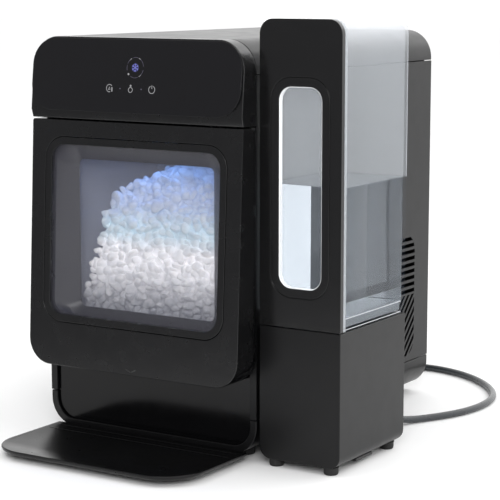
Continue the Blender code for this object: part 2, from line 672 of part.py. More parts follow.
def build_rear():
    inset = WALL + TOUCH
    far = 2 * CABINET_DEPTH
    panel = plate("rear_panel", [cabinet_outline(inset)], REAR_INSIDE_Y, REAR_PANEL_Y, BLACK, MACHINE)
    count = int(CONDENSER_HEIGHT / SLOT_PITCH)
    half = CONDENSER_SIDE / 2 - SLOT_MARGIN
    for i in range(count):
        z = CONDENSER_BOTTOM_Z + (i + 0.5) * SLOT_PITCH
        cut(panel, box(f"rear_slot_{i}", (CONDENSER_X - half, REAR_INSIDE_Y - OVERRUN, z),
                       (CONDENSER_X + half, REAR_PANEL_Y + OVERRUN, z + SLOT_HEIGHT), None, MACHINE))
    inlet_x, inlet_z = COMPRESSOR_X + INLET_OFFSET, COMPRESSOR_HEIGHT + INLET_RISE

    def inlet_line(size, grow, radius=0.0):
        half_x, half_z = size[0] / 2 + grow, size[1] / 2 + grow
        return rounded(inlet_x - half_x, inlet_x + half_x, inlet_z - half_z, inlet_z + half_z, radius)

    cut(panel,
        plate("inlet_cutout", [inlet_line(INLET_BODY, TOUCH)], REAR_PANEL_Y - far, REAR_PANEL_Y + far,
              None, MACHINE),
        rod("port_cutout", (PORT_X, REAR_PANEL_Y, PORT_Z), PORT_HOLE_RADIUS, 4 * WALL, None, MACHINE, "Y"),
        rod("drain_cutout", (DRAIN_X, REAR_PANEL_Y, PORT_Z), DRAIN_STEM_RADIUS + 2 * TOUCH, 4 * WALL,
            None, MACHINE, "Y"))

    seat = REAR_PANEL_Y + TOUCH
    back = seat + INLET_FLANGE_THICKNESS
    inlet = plate("power_inlet", [inlet_line(INLET_FLANGE, 0.0, INLET_FLANGE_RADIUS)], seat, back,
                  DARK, MACHINE)
    join(inlet, plate("inlet_body", [inlet_line(INLET_BODY, 0.0)], back - INLET_DEPTH, back - TOUCH * 3,
                      None, MACHINE))
    cut(inlet, plate("inlet_socket", [inlet_line(INLET_BODY, -INLET_SHELL)], back - INLET_SOCKET_DEPTH,
                     back + OVERRUN, None, MACHINE))
    hose_port("cabinet_hose_port", (PORT_X, REAR_PANEL_Y, PORT_Z), WALL, MACHINE)

    bevel = FOOT_CHAMFER / 2
    turned("drain_plug", [(0.0, DRAIN_HEAD_LENGTH), (DRAIN_HEAD_RADIUS - bevel, DRAIN_HEAD_LENGTH),
                          (DRAIN_HEAD_RADIUS, DRAIN_HEAD_LENGTH - bevel), (DRAIN_HEAD_RADIUS, 0.0),
                          (DRAIN_STEM_RADIUS, 0.0), (DRAIN_STEM_RADIUS, -DRAIN_STEM_LENGTH),
                          (0.0, -DRAIN_STEM_LENGTH)],
           (DRAIN_X, REAR_PANEL_Y + TOUCH, PORT_Z), DARK, DRAIN, "Y", sides=SMALL_STEPS)


def hose_port(name, outside, wall, carrier):
    """A nozzle through a rear wall, with a flange that seats on its outside."""
    stub = wall + PORT_STUB
    profile = [(0.0, PORT_REACH), (PORT_NOZZLE_RADIUS, PORT_REACH),
               (PORT_NOZZLE_RADIUS, PORT_FLANGE_THICKNESS), (PORT_FLANGE_RADIUS, PORT_FLANGE_THICKNESS),
               (PORT_FLANGE_RADIUS, TOUCH),
               (PORT_NOZZLE_RADIUS, TOUCH), (PORT_NOZZLE_RADIUS, -stub), (0.0, -stub)]
    turned(name, profile, outside, DARK, carrier, "Y", sides=SMALL_STEPS)


def build_feet():
    number = 0
    for y in (FOOT_INSET, CABINET_DEPTH - FOOT_INSET):
        for x in (-HALF_WIDTH + FOOT_INSET, HALF_WIDTH - FOOT_INSET):
            number += 1
            foot(f"foot_{number}", x, y, FOOT_RADIUS)
    number = 0
    for y in (TANK_FOOT_INSET_Y, TANK_DEPTH - TANK_FOOT_INSET_Y):
        for x in (TANK_LEFT + TANK_FOOT_INSET_X, TANK_RIGHT - TANK_FOOT_INSET_X):
            number += 1
            foot(f"tank_foot_{number}", x, y, TANK_FOOT_RADIUS)


def foot(name, x, y, radius):
    height = GROUND_GAP - TOUCH
    turned(name, [(0.0, height), (radius, height), (radius, FOOT_CHAMFER * 2), (radius - FOOT_CHAMFER, 0.0),
                  (0.0, 0.0)],
           (x, y, 0.0), RUBBER, MACHINE, sides=SMALL_STEPS)


# ---------------------------------------------------------------- head
def build_head():
    outer = rounded(-HALF_WIDTH, HALF_WIDTH, HEAD_BOTTOM_Z, CABINET_TOP, 0.0, TOP_RADIUS)
    inner = rounded(-HALF_WIDTH + HEAD_SKIN, HALF_WIDTH - HEAD_SKIN, HEAD_BOTTOM_Z + HEAD_SKIN,
                    CABINET_TOP - HEAD_SKIN, 0.0, TOP_RADIUS - HEAD_SKIN)
    head = plate("head_housing", [outer], front_y, -TOUCH, BLACK, MACHINE)
    cut(head, plate("head_hollow", [inner], front_depth(HEAD_SKIN), OVERRUN, None, MACHINE))

    half = HALF_WIDTH - PANEL_MARGIN
    face = rounded(-half, half, PANEL_BOTTOM_Z, PANEL_TOP_Z, PANEL_RADIUS)
    plate("control_panel", [face], panel_y, front_depth(-TOUCH), GLOSS, MACHINE)

    half = HALF_WIDTH - PANEL_BOARD_SIDE
    board = rounded(-half, half, PANEL_BOTTOM_Z + PANEL_BOARD_FOOT, PANEL_TOP_Z - PANEL_BOARD_HEAD)
    near = HEAD_SKIN + PANEL_BOARD_GAP
    plate("control_board", [board], front_depth(near), front_depth(near + BOARD_THICKNESS), BOARD, MACHINE)


# ---------------------------------------------------------------- ice drawer
def window_outline(grow):
    half = WINDOW_HALF + grow
    return rounded(-half, half, WINDOW_BOTTOM_Z - grow, WINDOW_TOP_Z + grow, WINDOW_RADIUS + grow)


def inner_outline(grow):
    half = WINDOW_HALF - TAPER_SIDE + grow
    return rounded(-half, half, WINDOW_BOTTOM_Z + TAPER_FOOT - grow, WINDOW_TOP_Z - TAPER_HEAD + grow,
                   INNER_RADIUS + grow)


def build_drawer_front():
    door = rounded(-HALF_WIDTH, HALF_WIDTH, DOOR_BOTTOM_Z, DOOR_TOP_Z, DOOR_RADIUS, DOOR_TOP_RADIUS)
    plate("drawer_front", [door, window_outline(BEZEL_WIDTH + BEZEL_GROOVE)], front_y, DOOR_BACK_Y,
          BLACK, DRAWER)

    bezel = plate("window_bezel", [window_outline(BEZEL_WIDTH), window_outline(0.0)], front_y,
                  front_depth(BEZEL_DEPTH), BLACK, DRAWER)
    pocket = plate("bezel_pocket", [window_outline(GLASS_OVERLAP + TOUCH)], front_depth(BEZEL_LIP),
                   front_depth(BEZEL_DEPTH + OVERRUN), None, DRAWER)
    cut(bezel, pocket)
    glass_front = BEZEL_LIP + TOUCH
    plate("window_glass", [window_outline(GLASS_OVERLAP)], front_depth(glass_front),
          front_depth(glass_front + GLASS_THICKNESS), CLEAR, DRAWER)

    reveal_front = BEZEL_DEPTH + TOUCH
    reveal = plate("window_reveal", [window_outline(BEZEL_WIDTH)], front_depth(reveal_front), DOOR_BACK_Y,
                   GREY, DRAWER)
    tunnel = add_object("reveal_tunnel", tunnel_mesh(reveal_front), None, DRAWER)
    pane_back = DOOR_BACK_Y - INNER_PANE_SETBACK
    pane_front = pane_back - INNER_PANE_THICKNESS
    rebate = plate("reveal_rebate", [inner_outline(INNER_PANE_OVERLAP + TOUCH)], pane_front - TOUCH,
                   DOOR_BACK_Y + OVERRUN, None, DRAWER)
    cut(reveal, tunnel, rebate)
    plate("inner_pane", [inner_outline(INNER_PANE_OVERLAP)], pane_front, pane_back, CLEAR, DRAWER)

    def seal_outline(inset):
        half = HALF_WIDTH - SEAL_SIDE - inset
        return rounded(-half, half, DOOR_BOTTOM_Z + SEAL_FOOT + inset, DOOR_TOP_Z - SEAL_HEAD - inset,
                       SEAL_RADIUS - inset)

    plate("drawer_gasket", [seal_outline(0.0), seal_outline(SEAL_WIDTH)], DOOR_BACK_Y + TOUCH,
          RECESS_Y - TOUCH, RUBBER, DRAWER)


def tunnel_mesh(front_gap):
    """The tapered opening behind the glass: a wide mouth lofted to a narrow one."""
    mouth = window_outline(0.0)
    throat = inner_outline(0.0)
    shape = bmesh.new()
    front = [shape.verts.new((x, front_y(z) + front_gap - OVERRUN, z)) for x, z in mouth]
    back = [shape.verts.new((x, DOOR_BACK_Y + OVERRUN, z)) for x, z in throat]
    shape.faces.new(front)
    shape.faces.new(reversed(back))
    count = len(front)
    for i in range(count):
        j = (i + 1) % count
        shape.faces.new((front[j], front[i], back[i], back[j]))
    bmesh.ops.recalc_face_normals(shape, faces=shape.faces)
    mesh = bpy.data.meshes.new("reveal_tunnel")
    shape.to_mesh(mesh)
    shape.free()
    return mesh


def build_drawer_box():
    ice_bin = box("ice_bin", (-BIN_HALF, BIN_FRONT_Y, BIN_BOTTOM_Z), (BIN_HALF, BIN_BACK_Y, BIN_TOP_Z),
                  CLEAR, DRAWER)
    cut(ice_bin, box("bin_hollow", (-BIN_HALF + WALL, BIN_FRONT_Y + WALL, BIN_BOTTOM_Z + WALL),
                     (BIN_HALF - WALL, BIN_BACK_Y - WALL, BIN_TOP_Z + OVERRUN), None, DRAWER))

    floor_front = DOOR_BACK_Y + TOUCH
    side_top = CARRIAGE_Z + CARRIAGE_SIDE_HEIGHT
    outline = [(-RUNNER_X, CARRIAGE_Z), (RUNNER_X, CARRIAGE_Z), (RUNNER_X, side_top),
               (CARRIAGE_SIDE_X, side_top), (CARRIAGE_SIDE_X, CARRIAGE_Z + CARRIAGE_THICKNESS),
               (-CARRIAGE_SIDE_X, CARRIAGE_Z + CARRIAGE_THICKNESS), (-CARRIAGE_SIDE_X, side_top),
               (-RUNNER_X, side_top)]
    carriage = plate("drawer_carriage", [outline], floor_front, BIN_BACK_Y, DARK, DRAWER)
    for side in (-1, 1):
        near, far = side * (RUNNER_X - RUNNER_ROOT), side * (RUNNER_X + RUNNER_WIDTH)
        join(carriage, box(f"runner_{side}", (min(near, far), RECESS_Y + 2 * WALL, RUNNER_Z),
                           (max(near, far), BIN_BACK_Y - RUNNER_SHORT, RUNNER_Z + RUNNER_HEIGHT),
                           None, DRAWER))


def build_bay():
    wall = LINER_WALL
    front = RECESS_Y + WALL + TOUCH
    liner = box("bay_liner", (-BAY_HALF - wall, front, BAY_BOTTOM_Z - wall),
                (BAY_HALF + wall, BAY_BACK_Y + wall, BAY_TOP_Z + wall), PALE, MACHINE)
    chute_half = CHUTE_WIDTH / 2 + CHUTE_PLAY
    cut(liner,
        box("bay_hollow", (-BAY_HALF, front - OVERRUN, BAY_BOTTOM_Z), (BAY_HALF, BAY_BACK_Y, BAY_TOP_Z),
            None, MACHINE),
        box("bay_ice_hole", (AUGER_X - chute_half, BAY_BACK_Y - OVERRUN, CHUTE_Z - CHUTE_PLAY),
            (AUGER_X + chute_half, BAY_BACK_Y + wall + OVERRUN, CHUTE_Z + CHUTE_HEIGHT + CHUTE_PLAY),
            None, MACHINE))

    inside = RUNNER_X + RUNNER_WIDTH + RAIL_PLAY
    low, high = RUNNER_Z - RAIL_PLAY, RUNNER_Z + RUNNER_HEIGHT + RAIL_PLAY
    lip = RUNNER_X + RAIL_PLAY
    outside = BAY_HALF - TOUCH
    channel = [(lip, low - RAIL_WALL), (outside, low - RAIL_WALL), (outside, high + RAIL_WALL),
               (lip, high + RAIL_WALL), (lip, high), (inside, high), (inside, low), (lip, low)]
    for name, side in (("drawer_rail_right", 1), ("drawer_rail_left", -1)):
        outline = [(side * x, z) for x, z in channel]
        plate(name, [outline], RECESS_Y + 2 * WALL, BIN_BACK_Y + RAIL_LONG, STEEL, MACHINE)

    lamp_top = BAY_TOP_Z - TOUCH
    box("bay_lamp", (-LAMP_WIDTH / 2, LAMP_FRONT_Y, lamp_top - LAMP_HEIGHT),
        (LAMP_WIDTH / 2, LAMP_FRONT_Y + LAMP_DEPTH, lamp_top), LAMP, MACHINE)


def build_tray():
    half = HALF_WIDTH - TRAY_SIDE
    outline = rounded(-half, half, -TRAY_REACH, -TOUCH, TRAY_RADIUS, 0.0)
    tray = column("drip_tray", outline, TRAY_TOP_Z - TRAY_THICKNESS, TRAY_TOP_Z, BLACK, TRAY)
    tongue_top = GROUND_GAP - TOUCH
    join(tray, box("tray_tongue", (-TONGUE_WIDTH / 2, -TONGUE_ROOT, tongue_top - TONGUE_THICKNESS),
                   (TONGUE_WIDTH / 2, TONGUE_LENGTH, tongue_top), None, TRAY))


# ---------------------------------------------------------------- ice making works
def build_ice_works():
    centre = (AUGER_X, AUGER_Y)
    under_top = BARREL_TOP_Z - FLANGE_HEIGHT
    over_bottom = BARREL_BOTTOM_Z + FLANGE_HEIGHT
    barrel = turned("evaporator_barrel",
                    [(FLANGE_RADIUS, BARREL_TOP_Z), (FLANGE_RADIUS, under_top - FLANGE_CHAMFER),
                     (BARREL_RADIUS, under_top - 2 * FLANGE_CHAMFER), (BARREL_RADIUS, over_bottom),
                     (FLANGE_RADIUS, over_bottom - FLANGE_CHAMFER), (FLANGE_RADIUS, BARREL_BOTTOM_Z),
                     (BORE_RADIUS, BARREL_BOTTOM_Z), (BORE_RADIUS, BARREL_TOP_Z)],
                    (*centre, 0.0), STEEL, MACHINE, closed=True)
    half = OUTLET_WIDTH / 2
    cut(barrel, box("barrel_outlet", (AUGER_X - half, AUGER_Y - FLANGE_RADIUS - OVERRUN, OUTLET_BOTTOM_Z),
                    (AUGER_X + half, AUGER_Y, OUTLET_BOTTOM_Z + OUTLET_HEIGHT), None, MACHINE))

    motor_half = MOTOR_SIDE / 2
    motor_top = BARREL_BOTTOM_Z - MOTOR_GAP
    box("gear_motor", (AUGER_X - motor_half, AUGER_Y - motor_half, BASE_FLOOR_Z + TOUCH),
        (AUGER_X + motor_half, AUGER_Y + motor_half, motor_top), DARK, MACHINE)
    auger_bottom = BARREL_BOTTOM_Z + AUGER_LIFT
    auger_top = OUTLET_BOTTOM_Z - AUGER_DROP
    screw = add_object("auger", auger_mesh(auger_top - auger_bottom), STEEL, AUGER, (*centre, auger_bottom))
    journal_low, journal_high = motor_top + TOUCH, auger_bottom + JOURNAL_ROOT
    join(screw, rod("auger_journal", (*centre, (journal_low + journal_high) / 2), JOURNAL_RADIUS,
                    journal_high - journal_low, None, AUGER))

    x0, x1 = AUGER_X - CHUTE_WIDTH / 2, AUGER_X + CHUTE_WIDTH / 2
    z0, z1 = CHUTE_Z, CHUTE_Z + CHUTE_HEIGHT
    wall = CHUTE_WALL
    channel = [(x0, z0), (x1, z0), (x1, z1), (x1 - wall, z1), (x1 - wall, z0 + wall), (x0 + wall, z0 + wall),
               (x0 + wall, z1), (x0, z1)]
    plate("ice_chute", [channel], BIN_BACK_Y - CHUTE_LIP, AUGER_Y - FLANGE_RADIUS - TOUCH, PALE, MACHINE)

    top = BARREL_TOP_Z - RESERVOIR_DROP
    low = Vector((RESERVOIR_LEFT_X, BAY_BACK_Y + RESERVOIR_ROOM, top - RESERVOIR_HEIGHT))
    high = Vector((HALF_WIDTH - RESERVOIR_SIDE, low.y + RESERVOIR_DEPTH, top))
    step = Vector((WALL, WALL, WALL))
    reservoir = box("water_reservoir", low, high, PALE, MACHINE)
    cut(reservoir, box("reservoir_hollow", low + step, (high.x - WALL, high.y - WALL, high.z + OVERRUN),
                       None, MACHINE))

    port_end = REAR_INSIDE_Y - PORT_STUB - TOUCH
    up_x, up_y = low.x + RESERVOIR_INLET, high.y - RESERVOIR_INLET_BACK
    foot_z = low.z - TOUCH
    tube("inlet_tube",
         [(PORT_X, port_end, PORT_Z), (PORT_X, port_end - STRAIGHT_END, PORT_Z),
          (PORT_X, port_end - 2 * STRAIGHT_END, PORT_Z), (PORT_X - 0.003, COMPRESSOR_Y, 0.034),
          (PORT_X - 0.004, COMPRESSOR_Y - 0.030, 0.070), (PORT_X, COMPRESSOR_Y - 0.045, 0.115),
          (up_x - 0.004, up_y + 0.010, foot_z - 0.050), (up_x, up_y, foot_z - 2 * STRAIGHT_END),
          (up_x, up_y, foot_z - STRAIGHT_END), (up_x, up_y, foot_z)],
         INLET_TUBE_DIAMETER, LINE_SPACING, HOSE, MACHINE)


def auger_mesh(height):
    """A two-start screw: a long rounded section swept up and round."""
    radius = BORE_RADIUS - AUGER_PLAY
    half = AUGER_CORE / 2
    reach = radius - half
    section = arc((reach, 0.0), half, -90, 90, 3) + arc((-reach, 0.0), half, 90, 270, 3)
    steps = AUGER_TURNS * AUGER_STEPS
    shape = bmesh.new()
    face = shape.faces.new([shape.verts.new((x, y, 0.0)) for x, y in section])
    face.normal_update()
    bmesh.ops.spin(shape, geom=[face] + list(face.verts) + list(face.edges), cent=(0.0, 0.0, 0.0),
                   axis=(0.0, 0.0, 1.0), dvec=(0.0, 0.0, height / steps),
                   angle=AUGER_TURNS * math.tau, steps=steps, use_duplicate=False)
    bmesh.ops.recalc_face_normals(shape, faces=shape.faces)
    mesh = bpy.data.meshes.new("auger")
    shape.to_mesh(mesh)
    shape.free()
    return mesh


# ---------------------------------------------------------------- cooling
def build_cooling():
    floor = BASE_FLOOR_Z + TOUCH
    top = floor + COMPRESSOR_HEIGHT
    r = COMPRESSOR_RADIUS
    turned("compressor", [(0.0, top), (r * 0.45, top - 0.003), (r * 0.82, top - 0.014), (r, top - 0.032),
                          (r, floor + 0.024), (r * 0.86, floor + 0.008), (r * 0.62, floor), (0.0, floor)],
           (COMPRESSOR_X, COMPRESSOR_Y, 0.0), BLACK, MACHINE)

    half = CONDENSER_SIDE / 2
    x0 = CONDENSER_X - half
    y0 = CONDENSER_BACK_Y - CONDENSER_DEPTH
    pitch = CONDENSER_SIDE / (FIN_COUNT - 0.5)
    comb = [(x0, CONDENSER_BACK_Y)]
    for i in range(FIN_COUNT):
        x = x0 + i * pitch
        comb += [(x, y0), (x + pitch / 2, y0)]
        if i < FIN_COUNT - 1:
            comb += [(x + pitch / 2, CONDENSER_BACK_Y - FIN_WEB), (x + pitch, CONDENSER_BACK_Y - FIN_WEB)]
    comb.append((x0 + CONDENSER_SIDE, CONDENSER_BACK_Y))
    column("condenser", comb, CONDENSER_BOTTOM_Z, CONDENSER_TOP_Z, STEEL, MACHINE)

    low = (CONDENSER_X - half, SHROUD_FRONT_Y, CONDENSER_BOTTOM_Z)
    high = (CONDENSER_X + half, SHROUD_BACK_Y, CONDENSER_TOP_Z)
    shroud = box("fan_shroud", low, high, DARK, MACHINE)
    strut_back = SHROUD_FRONT_Y + STRUT_DEPTH
    tunnel_back = SHROUD_BACK_Y + OVERRUN
    tunnel_radius = FAN_RADIUS + FAN_PLAY
    cut(shroud,
        rod("shroud_tunnel", (CONDENSER_X, (strut_back + tunnel_back) / 2, FAN_Z), tunnel_radius,
            tunnel_back - strut_back, None, MACHINE, "Y"),
        rod("spindle_hole", (CONDENSER_X, SHROUD_FRONT_Y, FAN_Z), SPINDLE_RADIUS + SPINDLE_PLAY,
            4 * STRUT_DEPTH, None, MACHINE, "Y"))
    outer_radius, inner_radius = tunnel_radius - SHROUD_RING, FAN_MOTOR_RADIUS
    outer_margin = math.degrees(math.asin(STRUT_HALF_WIDTH / outer_radius))
    inner_margin = math.degrees(math.asin(STRUT_HALF_WIDTH / inner_radius))
    for i in range(4):
        start, end = 90 * i, 90 * (i + 1)
        sector = (arc((CONDENSER_X, FAN_Z), outer_radius, start + outer_margin, end - outer_margin)
                  + arc((CONDENSER_X, FAN_Z), inner_radius, end - inner_margin, start + inner_margin, 3))
        cut(shroud, plate(f"shroud_sector_{i}", [sector], SHROUD_FRONT_Y - OVERRUN, strut_back + OVERRUN,
                          None, MACHINE))
    rod("fan_motor", (CONDENSER_X, SHROUD_FRONT_Y - TOUCH - FAN_MOTOR_LENGTH / 2, FAN_Z), FAN_MOTOR_RADIUS,
        FAN_MOTOR_LENGTH, STEEL, MACHINE, "Y")

    hub_front = strut_back + HUB_GAP
    hub_back = SHROUD_BACK_Y - HUB_BACK_GAP
    hub = turned("fan", [(0.0, hub_back), (HUB_RADIUS - HUB_GAP, hub_back), (HUB_RADIUS, hub_back - HUB_GAP),
                         (HUB_RADIUS, hub_front), (SPINDLE_RADIUS, hub_front),
                         (SPINDLE_RADIUS, SHROUD_FRONT_Y), (0.0, SHROUD_FRONT_Y)],
                 (CONDENSER_X, 0.0, FAN_Z), DARK, FAN, "Y")
    root = HUB_RADIUS - BLADE_ROOT
    span = FAN_RADIUS - root
    size = Vector((span, BLADE_THICKNESS, BLADE_CHORD)) / 2
    for i in range(BLADE_COUNT):
        blade = box(f"blade_{i}", -size, size, None, FAN)
        turn = Matrix.Rotation(math.tau * i / BLADE_COUNT, 4, "Y")
        turn = turn @ Matrix.Translation((root + span / 2, 0.0, 0.0)) @ Matrix.Rotation(BLADE_PITCH, 4, "X")
        middle = Vector((CONDENSER_X, (hub_front + hub_back) / 2, FAN_Z))
        blade.matrix_basis = Matrix.Translation(middle - ANCHORS[FAN.name]) @ turn
        join(hub, blade)

    y = CONDENSER_BACK_Y - CONDENSER_DEPTH / 2
    over = top + TOUCH
    down_x, down_z = CONDENSER_X + CONDENSER_SIDE / 3, CONDENSER_TOP_Z + TOUCH
    tube("discharge_line",
         [(COMPRESSOR_X, COMPRESSOR_Y, over), (COMPRESSOR_X, COMPRESSOR_Y, over + STRAIGHT_END),
          (COMPRESSOR_X, COMPRESSOR_Y, over + 2 * STRAIGHT_END),
          (COMPRESSOR_X - 0.020, COMPRESSOR_Y + 0.006, top + 0.048),
          (COMPRESSOR_X - 0.058, y - 0.014, top + 0.060), (down_x + 0.016, y - 0.003, down_z + 0.044),
          (down_x, y, down_z + 2 * STRAIGHT_END), (down_x, y, down_z + STRAIGHT_END), (down_x, y, down_z)],
         LINE_DIAMETER, LINE_SPACING, COPPER, MACHINE)

    shelf_low = BARREL_TOP_Z + SHELF_LIFT
    shelf_top = shelf_low + SHELF_THICKNESS
    shelf_half = HALF_WIDTH - WALL - TOUCH
    shelf_front = BAY_BACK_Y + SHELF_ROOM
    box("board_shelf", (-shelf_half, shelf_front, shelf_low), (shelf_half, REAR_INSIDE_Y - TOUCH, shelf_top),
        DARK, MACHINE)
    board_half = HALF_WIDTH - MAIN_BOARD_SIDE
    box("main_board", (-board_half, shelf_front + MAIN_BOARD_FRONT, shelf_top + TOUCH),
        (board_half, REAR_PANEL_Y - MAIN_BOARD_BACK, shelf_top + TOUCH + BOARD_THICKNESS), BOARD, MACHINE)


# ---------------------------------------------------------------- water tank and its base
def tank_outline(inset, low, high, low_radius, high_radius):
    return rounded(TANK_LEFT + inset, TANK_RIGHT - inset, low + inset, high - inset,
                   max(low_radius - inset, 0.0), max(high_radius - inset, 0.0))


def build_tank_base():
    top = TANK_SEAM_Z - SEAM / 2
    base = plate("tank_base", [tank_outline(0.0, GROUND_GAP, top, TANK_BOTTOM_RADIUS, 0.0)], 0.0, TANK_DEPTH,
                 BLACK, MACHINE)
    hollow = plate("base_hollow", [tank_outline(WALL, GROUND_GAP, top, TANK_BOTTOM_RADIUS, 0.0)], WALL,
                   TANK_DEPTH - WALL, None, MACHINE)
    hatch_half_x, hatch_half_y = HATCH_SIZE[0] / 2, HATCH_SIZE[1] / 2
    cut(base, hollow,
        rod("dock_hole", (TANK_X, DOCK_Y, top), DOCK_RADIUS, 4 * WALL, None, MACHINE),
        rod("tank_port_hole", (TANK_PORT_X, TANK_DEPTH, PORT_Z), PORT_HOLE_RADIUS, 4 * WALL,
            None, MACHINE, "Y"),
        box("hatch_hole", (TANK_X - hatch_half_x, HATCH_Y - hatch_half_y, GROUND_GAP - OVERRUN),
            (TANK_X + hatch_half_x, HATCH_Y + hatch_half_y, BASE_FLOOR_Z + OVERRUN), None, MACHINE))
    half_x, half_y = hatch_half_x + HATCH_LIP, hatch_half_y + HATCH_LIP
    cover_top = GROUND_GAP - TOUCH
    box("pump_cover", (TANK_X - half_x, HATCH_Y - half_y, cover_top - HATCH_COVER_THICKNESS),
        (TANK_X + half_x, HATCH_Y + half_y, cover_top), DARK, MACHINE)

    cup_top = top - WALL - TOUCH
    outer = DOCK_RADIUS + DOCK_RIM
    pin_top = CUP_FLOOR_Z + DOCK_PIN_HEIGHT
    turned("dock_cup", [(0.0, pin_top), (DOCK_PIN_RADIUS, pin_top), (DOCK_PIN_RADIUS, CUP_FLOOR_Z),
                        (outer - WALL, CUP_FLOOR_Z), (outer - WALL, cup_top), (outer, cup_top),
                        (outer, CUP_FLOOR_Z - WALL), (0.0, CUP_FLOOR_Z - WALL)],
           (TANK_X, DOCK_Y, 0.0), PALE, MACHINE)
    pump_low = BASE_FLOOR_Z + PUMP_FLOOR_GAP
    pump_high = CUP_FLOOR_Z - WALL - PUMP_TOP_GAP
    rod("transfer_pump", (TANK_X, DOCK_Y + PUMP_BEHIND_DOCK, (pump_low + pump_high) / 2), PUMP_RADIUS,
        pump_high - pump_low, DARK, MACHINE)
    hose_port("tank_hose_port", (TANK_PORT_X, TANK_DEPTH, PORT_Z), WALL, MACHINE)


def build_tank():
    low = TANK_SEAM_Z + SEAM / 2
    vessel_front = TANK_PANEL_THICKNESS + TOUCH
    whole = tank_outline(0.0, low, TANK_TOP, 0.0, TANK_TOP_RADIUS)
    vessel = plate("tank_vessel", [whole], vessel_front, TANK_DEPTH, CLEAR, TANK)
    cut(vessel,
        plate("vessel_hollow", [tank_outline(WALL, low, TANK_TOP, 0.0, TANK_TOP_RADIUS)], vessel_front + WALL,
              TANK_DEPTH - WALL, None, TANK),
        rod("vessel_neck", (TANK_X, DOCK_Y, low), CAP_RADIUS - CAP_WALL, 4 * WALL, None, TANK))

    def sight(grow):
        half = SIGHT_WIDTH / 2 + grow
        return rounded(TANK_X - half, TANK_X + half, SIGHT_BOTTOM_Z - grow, SIGHT_TOP_Z + grow,
                       SIGHT_RADIUS + grow)

    plate("tank_front_panel", [whole, sight(0.0)], 0.0, TANK_PANEL_THICKNESS, GLOSS, TANK)
    plate("sight_window", [sight(-TOUCH)], SIGHT_SETBACK, TANK_PANEL_THICKNESS, CLEAR, TANK)

    cap_top = low - TOUCH
    inner = CAP_RADIUS - CAP_WALL
    hole = PLUNGER_STEM + PLUNGER_PLAY
    cap_floor = CAP_BOTTOM_Z + CAP_FLOOR
    turned("tank_cap", [(CAP_RADIUS, cap_top), (CAP_RADIUS, CAP_BOTTOM_Z), (hole, CAP_BOTTOM_Z),
                        (hole, cap_floor), (inner, cap_floor), (inner, cap_top)],
           (TANK_X, DOCK_Y, 0.0), DARK, TANK, closed=True)
    seat = cap_floor + TOUCH
    head_top = seat + PLUNGER_HEAD_HEIGHT
    stem_top = seat + PLUNGER_LENGTH
    tail = CAP_BOTTOM_Z - PLUNGER_TAIL
    turned("valve_plunger", [(0.0, stem_top), (PLUNGER_STEM, stem_top), (PLUNGER_STEM, head_top),
                             (PLUNGER_HEAD, head_top), (PLUNGER_HEAD, seat), (PLUNGER_STEM, seat),
                             (PLUNGER_STEM, tail), (0.0, tail)],
           (TANK_X, DOCK_Y, 0.0), PALE, PLUNGER, sides=SMALL_STEPS)


# ---------------------------------------------------------------- hose on the worktop
def build_hose():
    """The hose lies on the worktop in one wide loop, from the cabinet's back to the tank's base."""
    start = REAR_PANEL_Y + PORT_REACH + TOUCH
    end = TANK_DEPTH + PORT_REACH + TOUCH
    rest = HOSE_REST_Z
    route = [(PORT_X, start, PORT_Z), (PORT_X, start + 0.010, PORT_Z), (PORT_X, start + 0.021, PORT_Z),
             (0.0125, 0.408, 0.0175), (0.022, 0.430, 0.0080), (0.040, 0.449, 0.0045), (0.060, 0.4590, rest),
             (0.080, 0.4625, rest), (0.1010, 0.4605, rest), (0.1230, 0.4535, rest), (0.1460, 0.4415, rest),
             (0.1720, 0.4205, rest), (0.1960, 0.392, rest), (0.2105, 0.362, rest), (0.2160, 0.329, rest),
             (0.2135, 0.296, rest), (0.2045, 0.267, rest), (0.1915, 0.242, rest), (0.1790, 0.219, 0.0048),
             (0.1700, 0.195, 0.0105), (0.1665, 0.177, 0.0190), (TANK_PORT_X, end + 0.022, PORT_Z),
             (TANK_PORT_X, end + 0.010, PORT_Z), (TANK_PORT_X, end, PORT_Z)]
    tube("water_hose", route, HOSE_DIAMETER, HOSE_POINT_SPACING, HOSE, MACHINE)


clear_scene()
PARTS = collection("ice_maker")
CUTTERS = collection("cutters")

BLACK = material("black_plastic", (0.018, 0.018, 0.020), 0.30)
GLOSS = material("gloss_black", (0.012, 0.012, 0.014), 0.08)
DARK = material("dark_plastic", (0.030, 0.031, 0.034), 0.50)
GREY = material("grey_reveal", (0.110, 0.112, 0.120), 0.45)
PALE = material("pale_plastic", (0.620, 0.640, 0.660), 0.40)
CLEAR = material("clear_plastic", (0.780, 0.830, 0.860), 0.08, alpha=0.35)
RUBBER = material("black_rubber", (0.020, 0.020, 0.020), 0.80)
STEEL = material("steel", (0.560, 0.570, 0.580), 0.30, metallic=1.0)
COPPER = material("copper", (0.720, 0.400, 0.240), 0.30, metallic=1.0)
BOARD = material("circuit_board", (0.030, 0.160, 0.070), 0.50)
LAMP = material("lamp_lens", (0.700, 0.800, 1.000), 0.30)
HOSE = material("grey_hose", (0.120, 0.140, 0.150), 0.40)

